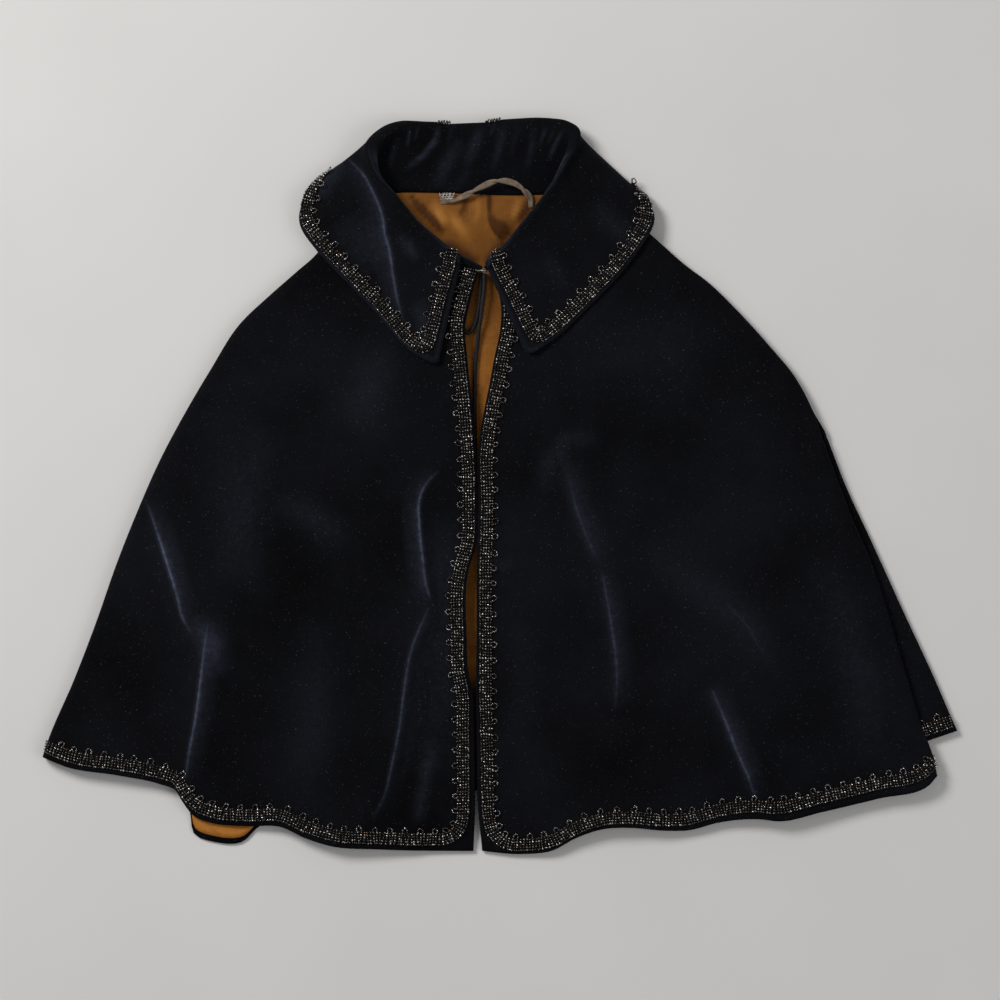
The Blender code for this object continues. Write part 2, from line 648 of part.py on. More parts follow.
def build_neck_pieces(cord, tape_cloth, metal):
    """The cord, its knot, the hanger tape and the fastening at the neck."""
    tube("neck_cord", CORD, CORD_RADIUS, cord, CORD_STEP, 2)
    tube("neck_cord_loop", CORD_LOOP, CORD_RADIUS, cord, 5.0, 2)
    knot("cord_knot", KNOT_CENTRE, KNOT_RADII, cord)
    tape("hanger_tape", HANGER, HANGER_WIDTH, HANGER_THICK, tape_cloth)
    hook = [(-20, 198.5, 15.05), (-18, 198.5, 15.1), (-16, 198.5, 16.5), (-13.6, 198.5, 17.1),
            (-11.6, 198.5, 16.4), (-11, 198.5, 15)]
    eye = [(-7, 196.4, 15.05), (-12, 196.4, 15.05), (-14, 197.2, 15.05), (-14.5, 198.5, 15.05),
           (-14, 199.8, 15.05), (-12, 200.6, 15.05), (-7, 200.6, 15.05)]
    tube("neck_hook", hook, FASTENER_WIRE, metal, 1.6, 2)
    tube("neck_eye", eye, FASTENER_WIRE, metal, 1.6, 2)


def main():
    clear_scene()
    velvet = make_material("velvet", (0.012, 0.016, 0.032), 0.9)
    lining = make_material("lining", (0.38, 0.19, 0.05), 0.6)
    beads = make_material("beads", (0.03, 0.028, 0.025), 0.25, 0.4)
    cord = make_material("cord", (0.015, 0.015, 0.017), 0.7)
    tape_cloth = make_material("tape", (0.24, 0.15, 0.09), 0.8)
    metal = make_material("metal", (0.45, 0.42, 0.38), 0.35, 1.0)
    build_fronts(velvet, beads)
    build_back(velvet, lining, beads)
    build_collar(velvet, beads)
    build_neck_pieces(cord, tape_cloth, metal)


main()
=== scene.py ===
"""Look of the velvet cape: fine cloth shells, bead trim, cords, tape, light and camera.

The tables are in millimetres, in the same places as the solids, and the pieces are made in metres.
+X is to the right as the cape is looked at from above, +Y runs from the hem to the collar, and +Z is up.
"""

import math

import bpy
import numpy as np
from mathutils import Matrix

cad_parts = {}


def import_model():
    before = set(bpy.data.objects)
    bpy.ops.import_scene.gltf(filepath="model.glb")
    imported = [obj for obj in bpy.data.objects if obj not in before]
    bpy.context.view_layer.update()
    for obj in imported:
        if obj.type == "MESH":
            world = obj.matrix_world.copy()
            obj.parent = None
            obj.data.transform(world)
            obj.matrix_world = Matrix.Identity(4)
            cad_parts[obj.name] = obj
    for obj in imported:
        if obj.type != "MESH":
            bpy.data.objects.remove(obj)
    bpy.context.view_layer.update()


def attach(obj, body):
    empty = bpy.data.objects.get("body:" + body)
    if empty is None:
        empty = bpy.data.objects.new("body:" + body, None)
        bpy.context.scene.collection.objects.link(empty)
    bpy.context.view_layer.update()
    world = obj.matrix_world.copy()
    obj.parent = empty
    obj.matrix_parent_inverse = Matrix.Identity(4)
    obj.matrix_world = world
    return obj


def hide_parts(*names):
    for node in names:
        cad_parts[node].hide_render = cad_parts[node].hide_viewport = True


MM = 0.001
CENTRE = (1.5, 0.6)  # middle of the whole cape in the tables

# Cloth, as in the solids
CLOTH = 2.0
COLLAR_CLOTH = 2.2
LINING = 1.0
SEAM_GAP = 0.3
NECK_GAP = 0.5
FRONT_TOP = 14.0
FRONT_LOFT = 2.0
SIDE_TOP = 13.0
SIDE_SEAM = 6.0
SIDE_SEAM_RISE = 1.25
SIDE_SEAM_RISES_FROM = 90
SIDE_SEAM_RISES_OVER = 160
NECK_LIFT = 2.5
NECK_LIFT_FROM = 222.0
NECK_LIFT_TO = 246.0
FOLD_REACH = 9.0
LINING_INSET = 13.0
HEM_TURN = 5.0  # velvet turned in at the hem, past the lining
PLEAT_DEPTH = 45.0
PLEAT_STARTS = 46.0
PLEAT_FULL = -150.0
HEM_RISE = 75.0
ROLL_RADIUS = 3.5
ROLL_RADIUS_STANDING = 5.5
STAND_LEAN = 0.6
FALL_PULL = 9.0
FALL_SAG = (2.0, 3.2)  # how fast the fall drops from the roll: at the fronts, and at the back
BEHIND_FROM = 90  # degrees of turn past which the collar stands behind the neck

# Fineness of the shells
CELL = 3.6
BACK_CELL = 6.0
FOLD_STEPS = 7
STAND_STEPS = 14
ROLL_STEPS = 8
FALL_STEPS = 30
STATION_STEPS = 10
FRONT_REACH = 400
BACK_REACH = 830
LINING_CELL = 4.5
LINING_COLUMNS = 170

# Outlines, as x and y
LEFT_SIDE = [
    (-130, 266), (-150, 242), (-166, 216), (-188, 196), (-213, 174), (-238, 150), (-265, 108), (-288, 69),
    (-310, 28), (-336, -31), (-351, -69), (-371, -126), (-391, -178), (-415, -234), (-420, -249)
]
LEFT_HEM = [
    (-23, -337), (-47, -337), (-73, -337), (-109, -336), (-155, -333), (-178, -326), (-201, -316),
    (-231, -316), (-265, -313), (-279, -308), (-291, -294), (-298, -283), (-311, -278), (-351, -270),
    (-397, -263), (-420, -254)
]
RIGHT_SIDE = [
    (92, 272), (120, 250), (146, 227), (172, 204), (192, 189), (221, 161), (250, 129), (273, 101),
    (290, 69), (300, 40), (312, 6), (327, -32), (342, -67), (355, -105), (373, -166), (389, -219),
    (400, -248), (404, -266)
]
RIGHT_OUTER = [
    (92, 272), (120, 250), (146, 227), (172, 204), (192, 189), (221, 161), (250, 129), (273, 101),
    (290, 69), (301, 50), (308, 32), (318, 6), (345, -53), (376, -121), (402, -177), (418, -214),
    (423, -225)
]
RIGHT_HEM = [
    (-15, -335), (20, -338), (49, -335), (72, -323), (97, -315), (120, -314), (152, -317), (175, -317),
    (203, -310), (239, -307), (259, -309), (297, -301), (349, -289), (397, -276), (404, -268)
]
BACK_HEM = [
    (-420, -250), (-380, -258), (-330, -266), (-298, -274), (-285, -300), (-280, -323), (-262, -330),
    (-236, -330), (-222, -317), (-190, -303), (-100, -290), (-19, -284), (100, -288), (220, -284),
    (310, -270), (375, -248), (423, -232)
]

# Front opening: y, then x of the left edge and of the right edge
OPENING = [
    (202, -16.5, -9.5), (185, -22, -2), (166, -27, 2.3), (148, -30.5, 2), (117, -28.5, -4.1),
    (92, -26, -8.7), (74, -24, -12.4), (52, -22.3, -16.4), (29, -20.5, -18.9), (-12, -19.4, -18.5),
    (-55, -21, -19.2), (-75, -27, -19.8), (-141, -29, -20.3), (-172, -27.5, -20.5), (-190, -23.5, -20.7),
    (-215, -22.7, -20.2), (-250, -22, -19.6), (-290, -21.5, -19.2), (-336, -23, -15)
]

# Collar stations on each side, from the front edge to the centre back: neck seam x, y, z; rolled edge
# x, y, z; outer edge x, y, z; the way out from the neck x, y; how far the roll is turned; its half width
LEFT_COLLAR = [
    (-30, 204.6, 12, -35, 208.5, 23, -56, 111, 18.8, -2, -22, 75, 5.4),
    (-55, 211, 12, -54, 226, 24.5, -83, 126, 17.2, -9, -18, 40, 4.8),
    (-76, 220, 12, -74, 244, 26, -113, 160, 16.7, -13, -16, 22, 4.2),
    (-97, 232, 12, -92, 266, 28, -141, 189, 16.6, -16, -12, 18, 4.1),
    (-115, 247, 12, -107, 283, 29, -168, 218, 16, -19, -7, 35, 4.6),
    (-123, 259, 10.5, -114, 298, 28.5, -183, 242, 13, -20, 0, 65, 5.4),
    (-121, 266.5, 9.5, -116, 313, 25, -178, 266, 11.5, -18, 8, 95, 7.5),
    (-108, 271.8, 7.8, -105, 328.5, 21, -158, 287, 2.8, -15, 17, 125, 6.5),
    (-91, 271, 5.5, -89, 336, 17, -134, 280, 0, -9, 22, 155, 6.2),
    (-68, 270.5, 5.3, -66, 336, 15, -95, 261, 0, -4, 24, 175, 5.5),
    (-46, 270, 5.3, -44, 335.2, 14, -48, 254, 0, 0, 24, 180, 5),
]
RIGHT_COLLAR = [
    (-12, 202, 12, -10, 205.5, 22.5, 27, 119, 18.8, 2, -28, 75, 5.4),
    (12, 206, 12, 4, 220, 24, 57, 140, 17.2, 12, -15, 40, 4.8),
    (31, 217, 12, 17, 237, 25, 84, 166, 16.7, 15, -12, 22, 4.2),
    (54, 234, 12, 34, 258, 27, 112, 195, 16.7, 17, -8, 18, 4.1),
    (74, 251, 12, 50, 280, 28.5, 133, 223, 16.5, 19, -3, 35, 4.6),
    (85, 263, 10.5, 60, 297, 28, 143, 242, 13.6, 20, 4, 65, 5.4),
    (83.5, 268.5, 9.5, 69, 312, 25, 141, 257, 12.2, 17, 10, 95, 7.5),
    (72, 271.8, 7.6, 72, 326.5, 20.5, 131, 269, 3.2, 13, 15, 125, 8),
    (58, 269.5, 5.5, 60.5, 336.4, 17, 108, 270, 0, 9, 22, 155, 10),
    (38, 268.5, 5.3, 39.5, 339.6, 15, 70, 262, 0, 4, 24, 175, 11.5),
    (14, 268, 5.3, 16.5, 338.9, 14, 35, 256, 0, 1, 24, 180, 10),
    (-8, 268.5, 5.3, -9, 337.1, 14, -5, 254, 0, 0, 22, 180, 6.5),
]

# Neck edges of the panels
LEFT_NECK = [
    (-16.5, 202), (-34, 205), (-55, 211), (-76, 220), (-97, 232), (-117, 248), (-130, 266)
]
RIGHT_NECK = [
    (-9.5, 202), (12, 206), (31, 217), (54, 234), (76, 253), (92, 272)
]
BACK_NECK = [
    (-130, 266), (-121, 266.8), (-108, 269), (-91, 270.5), (-68, 270.5), (-46, 270), (-8, 268.5),
    (14, 268), (38, 268.5), (60, 269.5), (74, 271), (92, 272)
]

# Height of the front's hem along x
HEM_HEIGHTS = [
    (-420, 12), (-350, 13), (-315, 11.5), (-284, 7.5), (-255, 6.2), (-225, 6.6), (-188, 12), (-150, 13.5),
    (-110, 10), (-70, 5), (-23, 3.4), (-15, 3.4), (30, 5), (75, 11), (110, 14), (145, 11.5), (175, 7.5),
    (210, 9), (250, 13.5), (290, 13), (330, 11), (370, 12.5), (420, 13)
]

# Folds: points of the ridge, its height, its half width on the left and on the right, and how much
# highlight is painted on it. The first OWN_FOLDS rows of each front shape its loft, and the others are
# creases on it.
# The left front's first row is a crease drawn as loft, and its fourth is the solid's fold drawn as a
# crease. On the lining the last number is the painted tone: painted shade below 0 and painted highlight
# above.
OWN_FOLDS = {"left": 3, "right": 4}
LEFT_FOLDS = [
    ([(-60, -232), (-67, -266), (-72.6, -295), (-74, -312)], 0.6, 6.5, 8.5, 0.12),
    ([(-322, -20), (-308, -60), (-294, -105), (-285, -140), (-272, -165), (-277, -205), (-286, -250),
      (-285, -290)], 7.0, 12.0, 34.0, 0.0),
    ([(-62, 12), (-74, -15), (-73, -45), (-68, -86), (-70, -125), (-84, -160), (-92, -205), (-102, -262),
      (-110, -315)], 6.5, 34.0, 11.0, 0.0),
    ([(-65, -250), (-72, -285), (-75, -325)], 3.5, 14.0, 9.0, 0.0),
    ([(-325, -8), (-310, -57), (-294, -105), (-282, -142), (-272, -156)], 2.2, 5.0, 16.0, 0.0),
    ([(-269, -130), (-272, -175), (-279, -215), (-286, -250), (-288, -280)], 2.2, 5.0, 14.0, 0.0),
    ([(-60, 14), (-73, -8), (-73, -40), (-68, -86), (-58, -116)], 2.0, 12.0, 5.0, 0.0),
    ([(-62, -112), (-82, -156), (-88, -200), (-98, -255), (-115, -305)], 2.0, 12.0, 6.0, 0.0),
    ([(-280, -120), (-264, -142), (-258, -176)], 1.0, 14.0, 14.0, 0.2),
    ([(-58, -20), (-50, -90), (-52, -180), (-62, -270)], 0.6, 30.0, 26.0, 0.07),
    ([(-98, 130), (-111, 108), (-121, 78), (-127, 46)], 1.6, 22.0, 22.0, 0.06),
    ([(-210, 60), (-232, 10), (-238, -50), (-230, -100)], 2.2, 30.0, 26.0, 0.07),
    ([(-205, -10), (-170, -30), (-140, -55)], 1.2, 16.0, 16.0, 0.06),
    ([(-170, -120), (-165, -180), (-172, -240), (-178, -300)], 1.8, 26.0, 22.0, 0.05),
]
RIGHT_FOLDS = [
    ([(74, 48), (48, 34), (41, 12), (44, -22)], 4.5, 10.0, 24.0, 0.0),
    ([(58, 30), (63, -5), (76, -54), (94, -90), (103, -135), (106, -190),
      (110, -240)], 6.0, 12.0, 36.0, 0.0),
    ([(140, -35), (190, -97), (232, -140), (268, -190)], 4.0, 30.0, 30.0, 0.0),
    ([(190, -180), (213, -228), (230, -268), (238, -312)], 6.0, 11.0, 30.0, 0.0),
    ([(92, 48), (62, 42), (44, 20), (42, -8)], 1.2, 9.0, 14.0, 0.09),
    ([(64, 32), (64, 8), (74, -28), (86, -58), (95, -77)], 1.6, 7.0, 16.0, 0.1),
    ([(94, -70), (99, -101), (104, -131), (108, -167), (107, -204)], 1.6, 6.0, 14.0, 0.08),
    ([(134, -50), (165, -82), (195, -101), (225, -125), (243, -155), (264, -180)], 1.6, 20.0, 20.0, 0.05),
    ([(190, -182), (207, -216), (225, -258), (233, -290)], 2.0, 5.0, 14.0, 0.08),
    ([(70, 108), (120, 130), (180, 142), (226, 128)], 2.0, 34.0, 34.0, 0.03),
    ([(-14, -72), (2, -75), (18, -72)], 1.4, 5.0, 7.0, 0.05),
    ([(20, -120), (24, -180), (18, -250)], 1.6, 16.0, 18.0, 0.025),
    ([(300, -60), (322, -130), (338, -200), (352, -262)], 1.8, 26.0, 22.0, 0.06),
]
COLLAR_FOLDS = [
    ([(-134, 295), (-118, 272), (-107, 247), (-105, 221), (-100, 195), (-93, 168)], 1.8, 7.0, 12.0, 0.0),
    ([(-140, 250), (-124, 222), (-112, 196)], 0.4, 26.0, 26.0, 0.08),
    ([(-89, 232), (-82, 219), (-74, 206)], 1.0, 6.0, 6.0, 0.14),
    ([(-170, 262), (-158, 280), (-142, 298)], 0.6, 9.0, 9.0, 0.12),
    ([(-74, 172), (-68, 150), (-62, 130)], 0.8, 9.0, 9.0, 0.12),
    ([(84, 262), (104, 242), (122, 226), (136, 214)], 0.7, 12.0, 12.0, 0.06),
    ([(40, 214), (54, 196), (62, 180)], 0.8, 9.0, 9.0, 0.05),
]
LINING_FOLDS = [
    ([(-8.7, 273), (-8.7, 262), (-8.7, 250)], 0.9, 2.6, 2.6, -1.0),
    ([(-10, 252), (-7, 243), (-2, 234), (5, 226)], 1.6, 2.6, 7.0, -1.0),
    ([(0, 246), (4, 238), (10, 230)], 1.2, 5.0, 7.0, -0.8),
    ([(8, 226), (-1, 214), (-13, 203)], 1.4, 8.0, 4.0, -1.0),
    ([(-52, 228), (-36, 214), (-18, 205)], 1.4, 7.0, 8.0, -0.9),
    ([(-64, 262), (-50, 250), (-37, 240), (-24, 224)], 1.6, 6.0, 7.0, 1.0),
    ([(-80, 262), (-64, 248), (-50, 232)], 1.4, 4.0, 6.0, -1.0),
    ([(-58, 254), (-53, 247), (-49, 239)], 1.0, 2.6, 2.6, 1.0),
    ([(-52, 256), (-46, 248), (-43, 240)], 0.8, 2.6, 2.6, -0.7),
    ([(-84, 271), (-76, 262), (-66, 255)], 1.0, 2.6, 3.0, -0.8),
    ([(-30, 270), (-32, 258), (-38, 246)], 0.8, 2.6, 4.0, -0.6),
    ([(-20, 268), (-18, 254), (-22, 240)], 0.8, 4.0, 4.0, 0.5),
    ([(30, 270), (25, 256), (16, 242)], 1.2, 4.0, 6.0, -0.9),
    ([(20, 268), (17, 256), (12, 246)], 0.9, 3.0, 3.0, 0.8),
]
STAND_FOLDS = [
    ([(-55, 333), (-58.6, 318), (-70, 305), (-86, 293)], 0.9, 2.2, 4.0, 0.24),
    ([(-34, 320), (-48, 296), (-60, 270)], 1.0, 7.0, 7.0, 0.13),
    ([(-15, 332), (-22, 313), (-30, 294)], 1.0, 6.0, 6.0, 0.13),
    ([(5, 334), (1, 313), (-6, 288)], 0.9, 4.5, 5.0, 0.1),
    ([(33, 332), (30.6, 311), (26, 290)], 0.9, 3.5, 4.0, 0.09),
    ([(59, 328), (52, 314), (46, 301)], 0.9, 2.0, 2.6, 0.2),
    ([(-26, 296), (-34, 281), (-40, 272)], 0.7, 4.0, 4.0, 0.07),
    ([(-82, 330), (-82, 323), (-84, 314)], 0.7, 1.6, 2.0, 0.16),
    ([(-74, 332), (-75, 326), (-77, 319)], 0.5, 1.5, 1.8, 0.1),
    ([(-94, 322), (-97, 308), (-100, 292)], 0.8, 3.5, 3.5, 0.07),
    ([(18, 332), (15, 318), (10, 300)], 0.8, 3.0, 3.0, 0.05),
    ([(44, 331), (41, 323), (37, 312)], 0.7, 1.8, 2.2, 0.14),
    ([(51, 328), (48, 321), (45, 315)], 0.6, 1.5, 1.8, 0.13),
    ([(-3, 336), (-5, 330), (-8, 322)], 0.5, 1.6, 1.8, 0.1),
    ([(-41, 334), (-43, 327), (-47, 316)], 0.6, 2.4, 2.6, 0.08),
]

# Sharp lines of light on the ridges: points, brightness, and the side that fades out softly, which is
# 1 for the left and -1 for the right of the way the line runs
LEFT_LINES = [
    ([(-324, -14), (-314, -42), (-303, -75), (-295, -101), (-290, -121), (-281, -136)], 1.0, 1),
    ([(-267, -126), (-270.6, -152), (-274.6, -186), (-278.6, -215), (-284.3, -243), (-289, -272)], 0.9, 1),
    ([(-54, 15), (-66, 3), (-72.6, -12), (-72.6, -33), (-69.2, -67), (-65, -95), (-57, -114)], 0.9, -1),
    ([(-60, -104), (-70, -124), (-79, -146), (-86.8, -186), (-91, -220), (-98, -255), (-107, -289),
      (-117, -306)], 0.62, 1),
]
RIGHT_LINES = [
    ([(63, 12), (73.8, -28), (86, -58), (95, -76)], 0.2, 1),
    ([(93, -66), (99, -101), (104, -131), (108.3, -167), (107, -206)], 0.34, 1),
    ([(195, -184), (209, -218), (220, -246), (229, -266), (238, -292)], 0.62, 1),
    ([(205, -104), (228, -128), (244, -156)], 0.12, 1),
]
COLLAR_LINES = [
    ([(-140, 303), (-123, 285), (-116, 272), (-110, 259), (-106, 246.7), (-104.3, 232), (-101, 221),
      (-98.9, 210), (-97, 196), (-94.4, 181), (-91.6, 167), (-86, 150)], 0.85, -1),
]
LINE_REACH = 40.0
ROLL_LINE = 0.42

# Bead trim: how far its middle lies in from the edge, at each distance along the edge from the corner
EDGE_TRIM = {
    "left": [(0, 11.8), (60, 11.0), (250, 8.2), (545, 8.0)],
    "right": [(0, 9.8), (250, 8.2), (545, 8.0)],
}
HEM_TRIM = {
    "left": [(0, 11.0), (430, 10.4)],
    "right": [(0, 8.8), (110, 9.2), (210, 11.0), (300, 13.6), (430, 14.2)],
}
LOBE_EDGE_TRIM = [(0, 13.4), (60, 12.6), (110, 11.0)]
COLLAR_TRIM = [(0, 9.0), (300, 9.0)]
PLEAT_TRIM = 10.3
NOTCH_TRIM = 7.4
TRIM_LIFT = 0.4
NET_THICK = 0.4
BEAD = 1.0
BEADS_ACROSS = 5
BEAD_PITCH = 2.45
TRIM_HALF = 5.7
RUNG_STEP = 2.9
LOOP_STEP = 14.2
LOOP = [(-2.1, 0.9), (-2.3, 2.5), (-1.4, 4.0), (0, 4.7), (1.4, 4.0), (2.3, 2.5), (2.1, 0.9)]  # along, out
LOOP_START = 0.45  # share of a step that lies before the first loop
LOOP_ROOM = 0.28  # share of a step beside a loop that stays without copper
COPPER_CHANCE = 0.4
NET_MARGIN = 0.6
NET_SEAT = 0.3
BEAD_SEAT = 0.6
LOW_SET = 0.4  # how much lower the rail and the loops lie

# Chance in the beads: spread of a rung's place and slant and of each bead's place, then sizes and tones
RUNG_SHIFT, RUNG_SLANT = 0.25, 0.10
BEAD_SPREAD, BEAD_SIZES, BEAD_TONES = 0.14, (0.88, 1.1), (0, 0.92)
RAIL_SPREAD, RAIL_SIZE, RAIL_TONES = 0.12, 0.62, (0, 0.8)
LOOP_SPREAD, LOOP_BEADS, LOOP_TONES = 0.1, (0.74, 0.92), (0.1, 0.9)
LOOP_SIZES, LOOP_LEAN, LOOP_TILTS = (0.85, 1.08), 0.14, (-0.1, 0.12)

# Where the trims turn and end
TRIM_STOPS = {"left": 1.5, "right": 44.0}
HEM_CORNER = 20.0
LOBE_CORNER = 8.0
COLLAR_TRIM_ENDS = {"left": 228.0, "right": 205.0}
BEAD_SEEDS = {"front_left": 11, "front_right": 12, "pleat": 13, "collar_left": 21, "collar_right": 22}

# Corners of the collar's lobes
LOBE_ROUND = {"left": 6.0, "right": 9.0}

# Roll of the collar beside the hook: x, y, z of its crest, and its section as distance out and height
COLLAR_ENDS = {"left": [(-51, 223.5, 21.5), (-38.5, 215.3, 21.0), (-23, 206.8, 18.8), (-14.6, 202.0, 17.4)],
               "right": [(9, 224.0, 21.5), (1.1, 218.2, 21.0), (-8.3, 207.6, 18.8), (-13.6, 201.4, 17.2)]}
END_SECTION = [
    (0.7, -4.6), (0.0, -2.6), (-0.2, -1.0), (0.5, -0.1), (2.2, 0.1), (4.5, -0.5), (6.5, -1.6), (8, -3)
]
END_CLOTH = 1.2
END_SIZE = 1.15
END_NARROWS = 0.62
END_GLOW = 0.30
END_RIM, END_RIM_WIDTH = 4.0, 1.5  # column of the rim that glows, and its width in columns
END_STEPS = 25
END_COLUMNS = 15

# Cords: x, y, z along them
CORD_RADIUS = 2.0
CORD = [
    (-13, 196, 11.8), (-13, 190, 11.6), (-13.4, 180, 11.3), (-15, 167, 10.6), (-16.3, 155, 9.8),
    (-18, 145, 8.1), (-19.3, 133, 6.2), (-21, 116, 5.65), (-22, 80, 5.65), (-21.8, 43, 5.65),
    (-21.5, 6, 5.65), (-23, -22, 5.65), (-27, -49, 5.65), (-32.5, -75, 5.65), (-34.5, -94, 5.9)
]
CORD_LOOP = [
    (-16.2, 196, 8.2), (-16.2, 186, 8.0), (-17.1, 172, 7.1), (-19.4, 157, 6.2), (-23, 146.5, 5.65),
    (-28, 141.5, 5.65), (-33.4, 145.5, 5.65), (-36, 156, 5.65), (-37, 168, 5.65), (-38, 180, 5.65)
]
CORD_LAY = 6.0  # length of one turn of its strands
CORD_STEP = 0.6
STRANDS = 3
STRAND_SHARE = 0.56

# Hanger tape: x, y, z along its middle
HANGER = [
    (-53, 263, 6.15), (-45, 262.5, 6.9), (-32, 267, 9.8), (-17, 275, 12.4), (0, 281, 13.4),
    (13, 279.5, 12.6), (23, 273, 10), (29.5, 265, 7), (30, 257, 6.15)
]
HANGER_WIDTH = 5.5
HANGER_THICK = 1.6
HANGER_STEPS = 110
HANGER_TURNS = 2.2
PLY_APART = (0.22, 0.34)  # how far a ply's middle swings out, as shares of the tape's width and thickness
PLY_HALF = (0.29, 0.46)  # half its own width and thickness, as the same shares
PLY_SIDES = 12
STITCH_RADIUS = 0.35

# Stitches that hold its left end: from, to, and how far they bow up
HANGER_STITCHES = [((x, 263.5, 7.9), (x + dx, 270.5, 7.9), 0.7)
                   for x in (-53, -50, -47, -44) for dx in (3.4, -1.2)]
HANGER_STITCHES += [((-54, y, 7.9), (-41, y + 0.8, 7.9), 0.6) for y in (264.5, 266.6, 268.8)]

# Camera, light and floor, in metres: each light's name, place, size and power
CAMERA_HEIGHT = 4.5
FRAME_WIDTH = 0.92
VIEW_MIDDLE = (-0.0001, -0.0130)
LIGHTS = [("key", (-2.0, 1.7, 2.2), 1.3, 95.0), ("fill", (2.4, -0.8, 2.4), 2.2, 22.0)]
WORLD_LIGHT = 0.34
FLOOR_HALF = 4
FLOOR_LEVEL = -0.0003


# Curves, patches and folds

def metres(points):
    """Turn points of the tables into metres from the middle of the cape."""
    return (np.asarray(points, float) - (*CENTRE, 0.0)) * MM


def smooth_step(value):
    """Go from 0 to 1 without a corner."""
    value = np.clip(value, 0.0, 1.0)
    return value * value * (3.0 - 2.0 * value)


def blend(first, second, share):
    """Mix two values or two points."""
    return first + (second - first) * share


def running_length(points):
    """Length along a row of points, at each of them."""
    return np.concatenate([[0.0], np.cumsum(np.linalg.norm(np.diff(points, axis=0), axis=1))])


class Curve:
    """A smooth line through points, read by a share of its length."""

    def __init__(self, points, dimensions=2):
        self.points = np.array(points, float)
        steps = np.linalg.norm(np.diff(self.points[:, :dimensions], axis=0), axis=1)
        self.marks = np.concatenate([[0.0], np.cumsum(steps)])
        self.length = self.marks[-1]
        self.slopes = np.gradient(self.points, self.marks, axis=0)

    def at(self, share):
        place = np.clip(np.asarray(share, float), 0.0, 1.0) * self.length
        i = np.clip(np.searchsorted(self.marks, place, side="right") - 1, 0, len(self.marks) - 2)
        step = (self.marks[i + 1] - self.marks[i])[..., None]
        t = (place - self.marks[i])[..., None] / step
        rise = t * t * (3 - 2 * t)
        start = t * (1 - t) ** 2 * step
        end = t * t * (t - 1) * step
        return (blend(self.points[i], self.points[i + 1], rise)
                + start * self.slopes[i] + end * self.slopes[i + 1])


class Patch:
    """A flat panel between its neck, its hem and its two long edges."""

    def __init__(self, neck, hem, start, end):
        self.neck, self.hem, self.start, self.end = neck, hem, start, end
        self.corners = [neck.at(0), neck.at(1), hem.at(0), hem.at(1)]

    def at(self, u, v):
        u = np.asarray(u, float)
        share = u[..., None]
        across = blend(self.neck.at(u), self.hem.at(u), v)
        along = blend(self.start.at(v), self.end.at(v), share)
        top = blend(self.corners[0], self.corners[1], share)
        bottom = blend(self.corners[2], self.corners[3], share)
        return across + along - blend(top, bottom, v)

    def row(self, v):
        """One line across the panel, read by its distance from the first edge."""
        shares = np.linspace(0, 1, 25)
        points = self.at(shares, v)
        marks = running_length(points)
        return marks[-1], lambda distance: self.at(np.interp(distance, marks, shares), v)


def near_fold(points, x, y):
    """For each place: its distance from a ridge, the side it is on, and how far along the ridge it is."""
    path = np.array(points, float)
    best = np.full(x.shape, 1e9)
    side = np.zeros(x.shape)
    along = np.zeros(x.shape)
    for i in range(len(path) - 1):
        run = path[i + 1] - path[i]
        dx, dy = x - path[i][0], y - path[i][1]
        t = np.clip((dx * run[0] + dy * run[1]) / run.dot(run), 0, 1)
        ax, ay = dx - run[0] * t, dy - run[1] * t
        distance = np.hypot(ax, ay)
        closer = distance < best
        best = np.where(closer, distance, best)
        side = np.where(closer, run[0] * ay - run[1] * ax, side)
        along = np.where(closer, (i + t) / (len(path) - 1), along)
    return best, side, along


def fold_height(folds, x, y):
    """Height that the ridges add, and the light and shade painted on them."""
    total = np.zeros(x.shape)
    nap = np.zeros(x.shape)
    for points, height, left_width, right_width, shine in folds:
        best, side, along = near_fold(points, x, y)
        width = np.where(side > 0, right_width, left_width)
        fade = smooth_step(along / 0.2)
        if shine:
            fade = fade * smooth_step((1 - along) / 0.2)
        total += height * fade * np.exp(-((best / width) ** 2))
        # Light and shade painted along the ridge
        taper = np.sin(math.pi * along) ** 0.7
        nap += shine * taper * np.exp(-((best / (width * 0.8)) ** 2))
    return total, nap


def lines_of_light(lines, x, y):
    """Signed distance from the nearest line, from 0 to 1 with the line at 0.5, and how bright it is."""
    nearest, second = np.full(x.shape, 1e9), np.full(x.shape, 1e9)
    place, gleam = np.ones(x.shape), np.zeros(x.shape)
    for points, brightness, soft_side in lines:
        best, side, along = near_fold(Curve(points).at(np.linspace(0, 1, 25)), x, y)
        closer = best < nearest
        second = np.where(closer, nearest, np.minimum(second, best))
        nearest = np.where(closer, best, nearest)
        signed = 0.5 + best * np.sign(side) * soft_side / LINE_REACH
        place = np.where(closer, np.clip(signed, 0, 1), place)
        gleam = np.where(closer, brightness * np.sin(math.pi * along) ** 0.8, gleam)
    reach = np.clip(1 - np.abs(place - 0.5) * 2, 0, 1)
    return place, gleam * smooth_step(reach * 4.0) * smooth_step((second - nearest) / 6.0)


def hem_height(x):
    """Height of the outer face of the front along its hem."""
    return np.interp(x, [row[0] for row in HEM_HEIGHTS], [row[1] for row in HEM_HEIGHTS])


